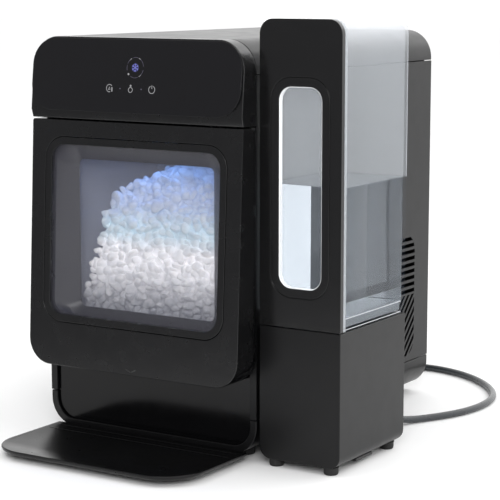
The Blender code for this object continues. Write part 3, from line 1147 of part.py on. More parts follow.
MACHINE = anchor("machine", (0.0, 0.0, 0.0))
DRAWER = anchor("drawer_slide", (0.0, BIN_FRONT_Y, CARRIAGE_Z), MACHINE)
TRAY = anchor("tray_slide", (0.0, 0.0, GROUND_GAP), MACHINE)
AUGER = anchor("auger_axis", (AUGER_X, AUGER_Y, BARREL_BOTTOM_Z), MACHINE)
FAN = anchor("fan_axis", (CONDENSER_X, SHROUD_FRONT_Y, FAN_Z), MACHINE)
DRAIN = anchor("drain_axis", (DRAIN_X, REAR_PANEL_Y, PORT_Z), MACHINE)
TANK = anchor("tank_lift", (TANK_X, DOCK_Y, TANK_SEAM_Z), MACHINE)
PLUNGER = anchor("plunger_slide", (TANK_X, DOCK_Y, CAP_BOTTOM_Z), TANK)

build_casing()
build_rear()
build_feet()
build_head()
build_drawer_front()
build_drawer_box()
build_bay()
build_tray()
build_ice_works()
build_cooling()
build_tank_base()
build_tank()
build_hose()
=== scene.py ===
"""Looks of the countertop ice maker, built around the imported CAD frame.

Pieces are modelled in cabinet coordinates, as the CAD is: X = 0 is the middle of the cabinet,
Y = 0 its front edge, Z = 0 the worktop. CABINET moves them into the frame's own coordinates.
"""
import json
import math
import random

import bmesh
import bpy
from mathutils import Matrix, Vector


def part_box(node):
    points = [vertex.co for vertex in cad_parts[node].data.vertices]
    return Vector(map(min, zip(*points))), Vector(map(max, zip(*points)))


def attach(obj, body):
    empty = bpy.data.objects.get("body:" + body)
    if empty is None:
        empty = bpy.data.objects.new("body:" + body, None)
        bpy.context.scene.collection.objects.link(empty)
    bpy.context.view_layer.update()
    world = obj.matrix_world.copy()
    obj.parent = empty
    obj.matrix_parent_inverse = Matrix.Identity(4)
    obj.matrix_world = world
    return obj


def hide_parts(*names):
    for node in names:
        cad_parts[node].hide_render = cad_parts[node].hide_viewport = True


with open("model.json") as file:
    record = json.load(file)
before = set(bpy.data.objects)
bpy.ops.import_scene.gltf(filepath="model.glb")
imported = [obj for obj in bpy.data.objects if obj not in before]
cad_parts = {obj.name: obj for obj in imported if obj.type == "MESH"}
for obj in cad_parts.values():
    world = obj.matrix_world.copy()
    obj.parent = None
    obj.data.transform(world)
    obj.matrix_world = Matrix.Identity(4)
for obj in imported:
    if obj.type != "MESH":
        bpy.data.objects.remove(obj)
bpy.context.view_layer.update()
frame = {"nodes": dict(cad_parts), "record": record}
NODES = frame["nodes"]
SLOT_OF = {part["node"]: part["material_slot"] for part in frame["record"]["subparts"]}

# ---------------------------------------------------------------- sizes, in metres
TOUCH = 0.0003
SEAM = 0.0008
WALL = 0.0025

CABINET_WIDTH = 0.252
CABINET_DEPTH = 0.366
CABINET_TOP = 0.4105
HALF_WIDTH = CABINET_WIDTH / 2
GROUND_GAP = 0.008
BASE_SEAM_Z = 0.0435
COVER_SEAM_Z = 0.3775
TOP_RADIUS = 0.030
BOTTOM_RADIUS = 0.028
RIM_WIDTH = 0.0074
RIM_DEPTH = 0.003

FRONT_REACH = 0.0358
FRONT_TILT = math.radians(3.02)
DOOR_BOTTOM_Z = 0.080
DOOR_TOP_Z = 0.328
DOOR_RADIUS = 0.026
DOOR_TOP_RADIUS = 0.002
DOOR_BACK_Y = -0.001
HEAD_BOTTOM_Z = 0.3295
HEAD_SKIN = 0.003
PANEL_BOTTOM_Z = 0.338
PANEL_TOP_Z = 0.409
PANEL_RADIUS = 0.026
PANEL_MARGIN = 0.0015
PANEL_LIFT_LOW = 0.006
PANEL_LIFT_HIGH = 0.001
LIP_REACH = 0.0030           # how far the head leans out where the control panel starts

WINDOW_WIDTH = 0.202
WINDOW_HEIGHT = 0.171
WINDOW_Z = 0.218
WINDOW_RADIUS = 0.015
BEZEL_WIDTH = 0.0075
BEZEL_DEPTH = 0.008
BEZEL_LIP = 0.0022
GLASS_OVERLAP = 0.002
GLASS_THICKNESS = 0.003
INNER_WIDTH = 0.162
INNER_HEIGHT = 0.150
INNER_Z = 0.2126
INNER_RADIUS = 0.006
INNER_PANE_THICKNESS = 0.0025
INNER_PANE_OVERLAP = 0.005
REVEAL_STEP = 0.0115         # width of the inner step round the narrow opening
REVEAL_STEP_Y = -0.0125

BIN_WIDTH = 0.197
BIN_FRONT_Y = 0.0085
BIN_BACK_Y = 0.150
BIN_BOTTOM_Z = 0.0928
BIN_TOP_Z = 0.292
BIN_RADIUS = 0.008
NUGGET_PITCH = 0.0088        # one ice nugget's middle to the next
NUGGET_ROOM = 0.0064         # a nugget's middle to the bin's wall
NUGGET_SIZES = (0.0048, 0.0078)

TRAY_WIDTH = 0.2326
TRAY_REACH = 0.120
TRAY_TOP_Z = 0.0108
TRAY_THICKNESS = 0.005
TRAY_RADIUS = 0.042

TANK_LEFT = HALF_WIDTH + 0.0034
TANK_RIGHT = TANK_LEFT + 0.089
TANK_X = (TANK_LEFT + TANK_RIGHT) / 2
TANK_DEPTH = 0.131
TANK_TOP = 0.4305
TANK_LOW = 0.139 + SEAM / 2
TANK_RADIUS = 0.014
TANK_PANEL_THICKNESS = 0.0055
VESSEL_FRONT = TANK_PANEL_THICKNESS + TOUCH
VESSEL_INSET = 0.0005        # the vessel's sides lie this far inside its front flange
FLANGE_DEPTH = 0.0042
VESSEL_FLOOR_HEIGHT = 0.0115     # underside of the vessel to the top of its thick clear floor
SIGHT_WIDTH = 0.047
SIGHT_BOTTOM_Z = 0.177
SIGHT_TOP_Z = 0.368
SIGHT_RADIUS = 0.0135
WATER_Z = 0.275
FLANGE_TICKS_Z = (0.193, 0.252, 0.318, 0.330, 0.392, 0.402)    # small marks up the clear flange

HOSE_DIAMETER = 0.0075
HOSE_SPACING = 0.018

CORNER_STEPS = 16            # straight pieces in a quarter turn of an outline
LATHE_SIDES = 48
ROUND_FROM = math.radians(32)    # edges sharper than this are bevelled or stay crisp

cover_low, cover_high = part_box("top_cover")
CABINET = Vector(((cover_low.x + cover_high.x) / 2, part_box("base_pan")[0].y, 0.0))


# ---------------------------------------------------------------- materials
def node_tree(name):
    made = bpy.data.materials.new(name)
    made.use_nodes = True
    shader = made.node_tree.nodes["Principled BSDF"]
    return made, made.node_tree, shader


def noise(tree, scale, detail=2.0, stretch=(1.0, 1.0, 1.0)):
    """Noise in the piece's own coordinates, with a scale in cycles per metre."""
    place = tree.nodes.new("ShaderNodeTexCoord")
    shift = tree.nodes.new("ShaderNodeMapping")
    shift.inputs["Scale"].default_value = stretch
    texture = tree.nodes.new("ShaderNodeTexNoise")
    texture.inputs["Scale"].default_value = scale
    texture.inputs["Detail"].default_value = detail
    tree.links.new(place.outputs["Object"], shift.inputs["Vector"])
    tree.links.new(shift.outputs["Vector"], texture.inputs["Vector"])
    return texture.outputs["Fac"]


def ranged(tree, source, low, high):
    """Spreads a noise's middle range over low to high."""
    spread = tree.nodes.new("ShaderNodeMapRange")
    spread.inputs["From Min"].default_value = 0.3
    spread.inputs["From Max"].default_value = 0.7
    spread.inputs["To Min"].default_value = low
    spread.inputs["To Max"].default_value = high
    tree.links.new(source, spread.inputs["Value"])
    return spread.outputs["Result"]


def mixed(tree, factor, first, second):
    """Goes from one colour to another by a factor. Each is a plain colour or a node's output."""
    mix = tree.nodes.new("ShaderNodeMix")
    mix.data_type = "RGBA"
    tree.links.new(factor, mix.inputs[0])
    for socket, colour in ((6, first), (7, second)):
        if isinstance(colour, bpy.types.NodeSocket):
            tree.links.new(colour, mix.inputs[socket])
        else:
            mix.inputs[socket].default_value = (*colour, 1.0)
    return mix.outputs[2]


def bump(tree, shader, height, distance, strength=0.5):
    made = tree.nodes.new("ShaderNodeBump")
    made.inputs["Strength"].default_value = strength
    made.inputs["Distance"].default_value = distance
    tree.links.new(height, made.inputs["Height"])
    tree.links.new(made.outputs["Normal"], shader.inputs["Normal"])


def plastic(name, colour, roughness, grain=900.0, depth=0.000006, mottle=0.10, smear=0.03, metallic=0.0,
            coat=0.0, stretch=(1.0, 1.0, 1.0), shine=0.5):
    """A moulded or metal surface: slight mottling, uneven gloss and a fine grain."""
    made, tree, shader = node_tree(name)
    shade = ranged(tree, noise(tree, 35.0, 4.0), 0.0, 1.0)
    darker = [c * (1 - mottle) for c in colour]
    lighter = [min(c * (1 + mottle), 1.0) for c in colour]
    tree.links.new(mixed(tree, shade, darker, lighter), shader.inputs["Base Color"])
    gloss = ranged(tree, noise(tree, 60.0, 3.0, stretch), roughness - smear, roughness + smear)
    tree.links.new(gloss, shader.inputs["Roughness"])
    bump(tree, shader, noise(tree, grain, 2.0, stretch), depth)
    shader.inputs["Metallic"].default_value = metallic
    shader.inputs["Specular IOR Level"].default_value = shine
    shader.inputs["Coat Weight"].default_value = coat
    shader.inputs["Coat Roughness"].default_value = 0.06
    return made


def clear(name, colour, alpha, roughness=0.04, frost=0.0):
    """Clear or hazy plastic and glass: a film that lets most of the light through."""
    made, tree, shader = node_tree(name)
    shade = ranged(tree, noise(tree, 24.0, 3.0), 0.0, 1.0)
    lighter = [min(c * 1.06, 1.0) for c in colour]
    tree.links.new(mixed(tree, shade, colour, lighter), shader.inputs["Base Color"])
    gloss = ranged(tree, noise(tree, 45.0, 2.0), roughness, roughness + 0.05 + frost)
    tree.links.new(gloss, shader.inputs["Roughness"])
    bump(tree, shader, noise(tree, 14.0, 2.0), 0.0002, 0.15)
    shader.inputs["Alpha"].default_value = alpha
    shader.inputs["IOR"].default_value = 1.47
    return made


def glowing(name, colour, strength, base=(0.5, 0.5, 0.5)):
    made, tree, shader = node_tree(name)
    shade = ranged(tree, noise(tree, 400.0, 2.0), 0.0, 1.0)
    dimmer = [c * 0.85 for c in colour]
    tree.links.new(mixed(tree, shade, dimmer, colour), shader.inputs["Emission Color"])
    shader.inputs["Base Color"].default_value = (*base, 1.0)
    shader.inputs["Emission Strength"].default_value = strength
    shader.inputs["Roughness"].default_value = 0.4
    return made


def spread_between(tree, source, near, far, low, high):
    """Carries a value from one range to another, eased at both ends."""
    spread = tree.nodes.new("ShaderNodeMapRange")
    spread.interpolation_type = "SMOOTHSTEP"
    spread.inputs["From Min"].default_value = near
    spread.inputs["From Max"].default_value = far
    spread.inputs["To Min"].default_value = low
    spread.inputs["To Max"].default_value = high
    tree.links.new(source, spread.inputs["Value"])
    return spread.outputs["Result"]


def height_share(tree, low, high):
    """How far a point of the piece has risen from one height to another, as a smooth share."""
    place = tree.nodes.new("ShaderNodeTexCoord")
    parts = tree.nodes.new("ShaderNodeSeparateXYZ")
    tree.links.new(place.outputs["Object"], parts.inputs["Vector"])
    return spread_between(tree, parts.outputs["Z"], low, high, 0.0, 1.0)


def frozen(name):
    """Nugget ice: painted shade makes it grey low in the bin and white above. Its glow is painted by height,
    blue at the top.
    """
    made, tree, shader = node_tree(name)
    shade = ranged(tree, noise(tree, 130.0, 4.0), 0.0, 1.0)
    # Painted shade: grey low in the bin, white above.
    painted_shade_low = mixed(tree, shade, (0.26, 0.27, 0.30), (0.46, 0.46, 0.49))
    white = mixed(tree, shade, (0.76, 0.78, 0.82), (0.96, 0.96, 0.97))
    tree.links.new(mixed(tree, height_share(tree, 0.120, 0.190), painted_shade_low, white), shader.inputs["Base Color"])
    gloss = ranged(tree, noise(tree, 220.0, 2.0), 0.08, 0.30)
    tree.links.new(gloss, shader.inputs["Roughness"])
    bump(tree, shader, noise(tree, 420.0, 4.0), 0.0002, 0.3)
    shader.inputs["Subsurface Weight"].default_value = 0.7
    shader.inputs["Subsurface Radius"].default_value = (0.9, 0.95, 1.0)
    shader.inputs["Subsurface Scale"].default_value = 0.006
    # The painted glow stands in for light soaking into the ice and for the lamp's blue light at the top.
    glow = (0.002, 0.002, 0.003)
    for low, high, colour in ((0.130, 0.185, (0.270, 0.258, 0.262)), (0.196, 0.214, (0.120, 0.180, 0.215)),
                              (0.216, 0.246, (0.030, 0.055, 0.120))):
        glow = mixed(tree, height_share(tree, low, high), glow, colour)
    tree.links.new(glow, shader.inputs["Emission Color"])
    shader.inputs["Emission Strength"].default_value = 1.0
    shader.inputs["IOR"].default_value = 1.31
    return made


def hazy(name):
    """The tank's clear plastic: painted shade where the water is, painted light above it, and a painted
    highlight white along its top.
    """
    made, tree, shader = node_tree(name)
    above_water = height_share(tree, WATER_Z - 0.0015, WATER_Z + 0.0015)
    # Painted shade below the water line, painted light above it.
    painted_water_shade_and_light = mixed(tree, above_water, (0.14, 0.18, 0.24), (0.52, 0.55, 0.585))
    # A painted highlight, white along the top of the tank.
    tree.links.new(mixed(tree, height_share(tree, 0.385, TANK_TOP), painted_water_shade_and_light, (0.62, 0.64, 0.67)),
                   shader.inputs["Base Color"])
    # The film is less clear above the water and towards the top, so that the painted light there shows.
    thickness = tree.nodes.new("ShaderNodeMath")
    thickness.operation = "MULTIPLY_ADD"
    tree.links.new(above_water, thickness.inputs[0])
    thickness.inputs[1].default_value = 0.135
    tree.links.new(spread_between(tree, height_share(tree, 0.395, TANK_TOP), 0.0, 1.0, 0.025, 0.20),
                   thickness.inputs[2])
    tree.links.new(thickness.outputs["Value"], shader.inputs["Alpha"])
    gloss = ranged(tree, noise(tree, 45.0, 2.0), 0.08, 0.18)
    tree.links.new(gloss, shader.inputs["Roughness"])
    shader.inputs["IOR"].default_value = 1.47
    return made


def liquid(name, colour):
    made, tree, shader = node_tree(name)
    shade = ranged(tree, noise(tree, 9.0, 2.0), 0.0, 1.0)
    tree.links.new(mixed(tree, shade, colour, [c * 0.97 for c in colour]), shader.inputs["Base Color"])
    shader.inputs["Roughness"].default_value = 0.0
    shader.inputs["Transmission Weight"].default_value = 1.0
    shader.inputs["Specular IOR Level"].default_value = 0.0
    shader.inputs["IOR"].default_value = 1.333
    return made


SATIN = plastic("satin_black_shell", (0.0026, 0.0026, 0.0029), 0.34, shine=0.30)
FACE = plastic("satin_black_face", (0.0024, 0.0024, 0.0027), 0.26)
PIANO = plastic("black_panel_glass", (0.0015, 0.0014, 0.0022), 0.10, grain=300.0, depth=0.000001, smear=0.01)
TANK_FACE = plastic("black_tank_face", (0.0030, 0.0030, 0.0032), 0.20, depth=0.000003, smear=0.02)
RECESS = plastic("gloss_black_recess", (0.0015, 0.0015, 0.0018), 0.14, grain=500.0, depth=0.000002,
                 smear=0.02, shine=0.25)
TRAY_BLACK = plastic("tray_black", (0.0014, 0.0014, 0.0016), 0.30, shine=0.32)
DARK = plastic("dark_plastic", (0.012, 0.012, 0.013), 0.50)
REVEAL_GREY = plastic("reveal_grey", (0.008, 0.008, 0.011), 0.30, mottle=0.06)
MID_GREY = plastic("mid_grey_plastic", (0.16, 0.165, 0.18), 0.45)
PALE = plastic("pale_plastic", (0.34, 0.35, 0.41), 0.42, mottle=0.05)
RUBBER = plastic("black_rubber", (0.006, 0.006, 0.006), 0.72, grain=700.0, depth=0.00004)
SEAL = plastic("grey_seal", (0.06, 0.06, 0.065), 0.62, grain=700.0, depth=0.00004)
STEEL = plastic("brushed_steel", (0.55, 0.56, 0.57), 0.28, grain=600.0, depth=0.00002, metallic=1.0,
                mottle=0.06, stretch=(1.0, 1.0, 0.04))
FINS = plastic("bare_aluminium", (0.70, 0.71, 0.72), 0.36, grain=500.0, depth=0.00002, metallic=1.0,
               stretch=(1.0, 1.0, 0.1))
COPPER = plastic("drawn_copper", (0.72, 0.38, 0.22), 0.26, metallic=1.0, mottle=0.15)
ENAMEL = plastic("black_enamel", (0.008, 0.008, 0.009), 0.22, grain=200.0, depth=0.00004, coat=0.3)
BOARD = plastic("circuit_board", (0.012, 0.10, 0.040), 0.42, mottle=0.3)
HOSE = plastic("grey_hose", (0.030, 0.034, 0.038), 0.28, mottle=0.04)
SILICONE = plastic("silicone_tube", (0.42, 0.43, 0.44), 0.45)
DOOR_GLASS = clear("door_glass", (0.20, 0.20, 0.24), 0.08)
INNER_GLASS = clear("inner_glass", (0.30, 0.31, 0.36), 0.05)
BIN_CLEAR = clear("clear_bin", (0.40, 0.43, 0.52), 0.08)
VESSEL = hazy("tank_film_painted_light")
VESSEL_FLANGE = clear("tank_flange", (0.40, 0.42, 0.44), 0.50, 0.08)
# A pale finish for painted highlights along the tank's edges; it also serves the small ticks up the flange.
VESSEL_TICKS_AND_EDGE_HIGHLIGHTS = clear("tank_ticks_and_edge_highlights", (0.72, 0.74, 0.77), 0.60, 0.12)
VESSEL_FLOOR = clear("tank_floor", (0.10, 0.115, 0.13), 0.90, 0.12)
# A pale finish for painted highlights along the tank's edges.
VESSEL_RAIL_HIGHLIGHTS = clear("tank_rail_highlights", (0.46, 0.48, 0.51), 0.45, 0.12)
SIGHT = clear("sight_glass", (0.36, 0.38, 0.41), 0.04)
RIM_CLEAR = clear("sight_rim", (0.90, 0.91, 0.92), 0.75, 0.12)
WATER = liquid("tank_water", (0.72, 0.79, 0.86))
# Pieces in these finishes cast no shadow, so that light reaches the ice and the water behind them.
SEE_THROUGH = (DOOR_GLASS, INNER_GLASS, BIN_CLEAR, VESSEL, VESSEL_FLANGE, VESSEL_TICKS_AND_EDGE_HIGHLIGHTS, VESSEL_RAIL_HIGHLIGHTS,
               VESSEL_FLOOR, SIGHT, RIM_CLEAR, WATER)
ICE = frozen("nugget_ice")
LED = glowing("cold_led", (0.22, 0.44, 1.0), 12.0)
MARK_BLUE = glowing("panel_light_blue", (0.14, 0.15, 0.52), 1.0, (0.02, 0.02, 0.05))
MARK_DIM = glowing("panel_ring_dim", (0.070, 0.060, 0.110), 0.8, (0.02, 0.02, 0.02))
MARK_WHITE = glowing("panel_mark_grey", (0.30, 0.30, 0.31), 1.0, (0.05, 0.05, 0.05))
MARK_GREY = plastic("door_mark_grey", (0.03, 0.03, 0.03), 0.5)


# ---------------------------------------------------------------- outlines
def arc(centre, radius, start, end, steps=CORNER_STEPS):
    """Points along an arc, from one angle to another, both in degrees."""
    points = []
    for i in range(steps + 1):
        angle = math.radians(start + (end - start) * i / steps)
        points.append((centre[0] + radius * math.cos(angle), centre[1] + radius * math.sin(angle)))
    return points


def rounded(x0, x1, z0, z1, low, high=None):
    """A rectangle with one radius on its two lower corners and another on its upper ones."""
    high = low if high is None else high
    corners = ((x1, z0, -1, 1, low, -90), (x1, z1, -1, -1, high, 0), (x0, z1, 1, -1, high, 90),
               (x0, z0, 1, 1, low, 180))
    points = []
    for x, z, to_x, to_z, radius, start in corners:
        radius = max(radius, 0.0002)
        points += arc((x + to_x * radius, z + to_z * radius), radius, start, start + 90)
    return points


def front_y(z):
    """The tilted plane of the door and of the head above it."""
    return -FRONT_REACH + (z - DOOR_BOTTOM_Z) * math.tan(FRONT_TILT)


def front_depth(depth):
    return lambda z: front_y(z) + depth


def shell_y(z):
    """The head's front: a lip that leans out under the control panel, then back behind the panel."""
    if z <= PANEL_BOTTOM_Z:
        share = (z - HEAD_BOTTOM_Z) / (PANEL_BOTTOM_Z - HEAD_BOTTOM_Z)
    else:
        share = (CABINET_TOP - z) / (CABINET_TOP - PANEL_BOTTOM_Z)
    return front_y(z) - LIP_REACH * max(share, 0.0)


def panel_y(z):
    """The control panel's face, which stands out most at its lower edge."""
    share = (z - PANEL_BOTTOM_Z) / (PANEL_TOP_Z - PANEL_BOTTOM_Z)
    return front_y(z) - PANEL_LIFT_LOW - share * (PANEL_LIFT_HIGH - PANEL_LIFT_LOW)


def base_line(inset):
    """The casing's lower band, seen from the front: up each side as far as the seam."""
    x, z, radius = HALF_WIDTH - inset, GROUND_GAP + inset, BOTTOM_RADIUS - inset
    top = BASE_SEAM_Z - SEAM / 2
    return [(-x, top)] + arc((-x + radius, z + radius), radius, 180, 270) \
        + arc((x - radius, z + radius), radius, -90, 0) + [(x, top)]


def cover_line(inset):
    """The casing's upper band, seen from the front."""
    x, z, radius = HALF_WIDTH - inset, CABINET_TOP - inset, TOP_RADIUS - inset
    bottom = COVER_SEAM_Z + SEAM / 2
    return [(x, bottom)] + arc((x - radius, z - radius), radius, 0, 90) \
        + arc((-x + radius, z - radius), radius, 90, 180) + [(-x, bottom)]


def window_line(grow):
    half_x, half_z = WINDOW_WIDTH / 2 + grow, WINDOW_HEIGHT / 2 + grow
    return rounded(-half_x, half_x, WINDOW_Z - half_z, WINDOW_Z + half_z, WINDOW_RADIUS + grow)


def inner_line(grow):
    half_x, half_z = INNER_WIDTH / 2 + grow, INNER_HEIGHT / 2 + grow
    return rounded(-half_x, half_x, INNER_Z - half_z, INNER_Z + half_z, INNER_RADIUS + grow)


def tank_line(inset, low=TANK_LOW, high=TANK_TOP, high_radius=TANK_RADIUS):
    return rounded(TANK_LEFT + inset, TANK_RIGHT - inset, low + inset, high - inset, 0.0006,
                   max(high_radius - inset, 0.0006))


def sight_line(grow):
    half = SIGHT_WIDTH / 2 + grow
    return rounded(TANK_X - half, TANK_X + half, SIGHT_BOTTOM_Z - grow, SIGHT_TOP_Z + grow,
                   SIGHT_RADIUS + grow)


# ---------------------------------------------------------------- meshes
def depth_at(depth, v):
    return depth(v) if callable(depth) else depth


def loft(rows, ring=False, strip=False, flat=False, inward=False):
    """A mesh through outlines with the same number of points.

    Each row is an outline and a depth. ring joins the last row to the first, strip leaves the
    outlines open and caps the two ends, and flat lays the outlines in X and Y.
    """
    shape = bmesh.new()
    grid = []
    for outline, depth in rows:
        if flat:
            grid.append([shape.verts.new((u, v, depth)) for u, v in outline])
        else:
            grid.append([shape.verts.new((u, depth_at(depth, v), v)) for u, v in outline])
    joined = list(zip(grid, grid[1:]))
    if ring:
        joined.append((grid[-1], grid[0]))
    count = len(grid[0])
    for first, second in joined:
        for i in range(count - 1 if strip else count):
            j = (i + 1) % count
            shape.faces.new((first[i], first[j], second[j], second[i]))
    if strip:
        shape.faces.new([row[0] for row in grid])
        shape.faces.new([row[-1] for row in reversed(grid)])
    elif not ring:
        shape.faces.new(grid[0])
        shape.faces.new(reversed(grid[-1]))
    bmesh.ops.recalc_face_normals(shape, faces=shape.faces)
    if inward:
        bmesh.ops.reverse_faces(shape, faces=shape.faces)
    mesh = bpy.data.meshes.new("loft")
    shape.to_mesh(mesh)
    shape.free()
    return mesh


def block(low, high):
    low, high = Vector(low), Vector(high)
    shape = bmesh.new()
    bmesh.ops.create_cube(shape, size=1.0)
    bmesh.ops.scale(shape, vec=high - low, verts=shape.verts)
    bmesh.ops.translate(shape, vec=(low + high) / 2, verts=shape.verts)
    mesh = bpy.data.meshes.new("block")
    shape.to_mesh(mesh)
    shape.free()
    return mesh


def lathe(profile, place, along="Z", sides=LATHE_SIDES):
    """A turned mesh from (radius, height) down its outer side, both ends on the axis."""
    shape = bmesh.new()
    rings = []
    for radius, height in profile:
        if radius == 0.0:
            rings.append([shape.verts.new((0.0, 0.0, height))])
        else:
            rings.append([shape.verts.new((radius * math.cos(math.tau * i / sides),
                                           radius * math.sin(math.tau * i / sides), height))
                          for i in range(sides)])
    for first, second in zip(rings, rings[1:]):
        for i in range(sides):
            j = (i + 1) % sides
            corners = [first[i % len(first)], first[j % len(first)], second[j % len(second)],
                       second[i % len(second)]]
            shape.faces.new(list(dict.fromkeys(corners)))
    bmesh.ops.recalc_face_normals(shape, faces=shape.faces)
    mesh = bpy.data.meshes.new("lathe")
    shape.to_mesh(mesh)
    shape.free()
    if along == "Y":
        mesh.transform(Matrix.Rotation(-math.pi / 2, 4, "X"))
    mesh.transform(Matrix.Translation(place))
    return mesh


def joined(*meshes):
    """One mesh from several."""
    shape = bmesh.new()
    for mesh in meshes:
        shape.from_mesh(mesh)
        bpy.data.meshes.remove(mesh)
    made = bpy.data.meshes.new("joined")
    shape.to_mesh(made)
    shape.free()
    return made


def refined(node):
    """A CAD node's shape with its flat faces merged, ready for fine edges, in cabinet coordinates."""
    shape = bmesh.new()
    shape.from_mesh(NODES[node].data)
    bmesh.ops.remove_doubles(shape, verts=shape.verts, dist=0.000005)
    bmesh.ops.dissolve_limit(shape, angle_limit=math.radians(1.0), verts=shape.verts, edges=shape.edges)
    mesh = bpy.data.meshes.new(node)
    shape.to_mesh(mesh)
    shape.free()
    mesh.transform(Matrix.Translation(-CABINET))
    return mesh


# ---------------------------------------------------------------- pieces
def piece(name, mesh, finish, body, slot=None, stands_for=(), edge=0.0, segments=3):
    """Puts a mesh in the scene as a piece that rides on a body."""
    made = bpy.data.objects.new(name, mesh)
    bpy.context.scene.collection.objects.link(made)
    made.location = CABINET
    made.visible_shadow = finish not in SEE_THROUGH
    mesh.materials.clear()
    mesh.materials.append(finish)
    mesh.shade_smooth()
    mesh.set_sharp_from_angle(angle=ROUND_FROM)
    if edge:
        rounding = made.modifiers.new("edges", "BEVEL")
        rounding.width = edge
        rounding.segments = segments
        rounding.limit_method = "ANGLE"
        rounding.angle_limit = ROUND_FROM
        rounding.harden_normals = True
        rounding.use_clamp_overlap = True
    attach(made, body)
    if stands_for:
        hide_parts(*stands_for)
        slot = slot or SLOT_OF[stands_for[0]]
    return made


def refine(node, finish, body, edge=0.0003, name=None):
    """Stands a fine-edged piece in for a CAD node."""
    return piece(name or node + "_fine", refined(node), finish, body, stands_for=(node,), edge=edge)


# ---------------------------------------------------------------- camera and hose first
def add_camera():
    data = bpy.data.cameras.new("camera")
    data.lens = 126.73
    data.sensor_width = 36.0
    data.shift_x = -0.0005
    data.shift_y = -0.0058
    camera = bpy.data.objects.new("camera", data)
    bpy.context.scene.collection.objects.link(camera)
    camera.location = (0.9626, -1.5285, 0.4669)
    camera.rotation_euler = (math.radians(90 - 8.668), 0.0, math.radians(32.336))
    bpy.context.scene.camera = camera


def smooth_route(knots, spacing):
    """Evenly spaced points on a smooth curve through the knots of a route."""
    knots = [Vector(knot) for knot in knots]
    padded = [2 * knots[0] - knots[1]] + knots + [2 * knots[-1] - knots[-2]]
    fine = [knots[0]]
    for before, start, end, after in zip(padded, padded[1:], padded[2:], padded[3:]):
        for i in range(1, 13):
            t = i / 12
            fine.append(0.5 * (2 * start + (end - before) * t
                               + (2 * before - 5 * start + 4 * end - after) * t ** 2
                               + (3 * start - before - 3 * end + after) * t ** 3))
    lengths = [0.0]
    for start, end in zip(fine, fine[1:]):
        lengths.append(lengths[-1] + (end - start).length)
    count = round(lengths[-1] / spacing)
    points = []
    i = 0
    for step in range(count + 1):
        target = lengths[-1] * step / count
        while i < len(fine) - 2 and lengths[i + 1] < target:
            i += 1
        share = (target - lengths[i]) / (lengths[i + 1] - lengths[i])
        points.append(fine[i].lerp(fine[i + 1], share))
    return points


def add_hose():
    """The water hose, from the cabinet's back to the tank's base, in one loop on the worktop."""
    rest = 0.0040
    port_z = 0.023
    port_x = 0.010
    tank_x = 0.166
    start = 0.3650
    end = 0.1415
    route = [(port_x, start, port_z), (port_x, start + 0.010, port_z), (port_x, start + 0.021, port_z),
             (0.0125, 0.408, 0.0175), (0.022, 0.430, 0.0080), (0.040, 0.449, 0.0045), (0.060, 0.4590, rest),
             (0.080, 0.4625, rest), (0.1010, 0.4605, rest), (0.1230, 0.4535, rest), (0.1460, 0.4415, rest),
             (0.1720, 0.4205, rest), (0.1960, 0.392, rest), (0.2105, 0.362, rest), (0.2160, 0.329, rest),
             (0.2135, 0.296, rest), (0.2045, 0.267, rest), (0.1915, 0.242, rest), (0.1790, 0.219, 0.0048),
             (0.1700, 0.195, 0.0105), (0.1665, 0.177, 0.0190), (tank_x, end + 0.022, port_z),
             (tank_x, end + 0.010, port_z), (tank_x, end, port_z)]
    points = [point + CABINET for point in smooth_route(route, HOSE_SPACING)]
    curve = bpy.data.curves.new("rear_water_hose", "CURVE")
    curve.dimensions = "3D"
    curve.bevel_depth = HOSE_DIAMETER / 2
    curve.bevel_resolution = 6
    curve.resolution_u = 6
    curve.use_fill_caps = True
    spline = curve.splines.new("NURBS")
    spline.points.add(len(points) - 1)
    for target, point in zip(spline.points, points):
        target.co = (*point, 1.0)
    spline.order_u = 4
    spline.use_endpoint_u = True
    hose = bpy.data.objects.new("rear_water_hose", curve)
    bpy.context.scene.collection.objects.link(hose)
    curve.materials.append(HOSE)
    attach(hose, "cabinet")
    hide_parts("water_hose")


# ---------------------------------------------------------------- cabinet
def build_casing():
    piece("casing_base",
          loft([(base_line(0.0), 0.0), (base_line(0.0), CABINET_DEPTH), (base_line(WALL), CABINET_DEPTH),
                (base_line(WALL), RIM_DEPTH), (base_line(RIM_WIDTH), RIM_DEPTH), (base_line(RIM_WIDTH), 0.0)],
               ring=True, strip=True),
          SATIN, "cabinet", stands_for=("base_pan",), edge=0.0009)
    piece("casing_cover",
          loft([(cover_line(0.0), TOUCH), (cover_line(0.0), CABINET_DEPTH), (cover_line(WALL), CABINET_DEPTH),
                (cover_line(WALL), TOUCH)], ring=True, strip=True),
          SATIN, "cabinet", stands_for=("top_cover",), edge=0.0006)
    for side in ("left", "right"):
        refine("side_panel_" + side, SATIN, "cabinet", 0.0004)
    inner = HALF_WIDTH - WALL - TOUCH
    opening = rounded(-0.1065, 0.1065, 0.088, 0.318, 0.006)
    recess = rounded(-inner, inner, GROUND_GAP + WALL + TOUCH, DOOR_TOP_Z, BOTTOM_RADIUS - WALL - TOUCH, 0.0)
    front, back = RIM_DEPTH + TOUCH, RIM_DEPTH + TOUCH + WALL
    piece("recess_panel", loft([(recess, front), (recess, back), (opening, back), (opening, front)],
                               ring=True),
          RECESS, "cabinet", stands_for=("front_panel",))


def screw_head(place, radius=0.0032):
    """A crosshead screw, seen from behind the cabinet."""
    profile = [(0.0, 0.0006), (radius * 0.28, 0.0006), (radius * 0.30, 0.0015), (radius * 0.6, 0.0014),
               (radius * 0.85, 0.0010), (radius, 0.0002), (radius, 0.0), (0.0, 0.0)]
    return lathe(profile, place, "Y", 24)


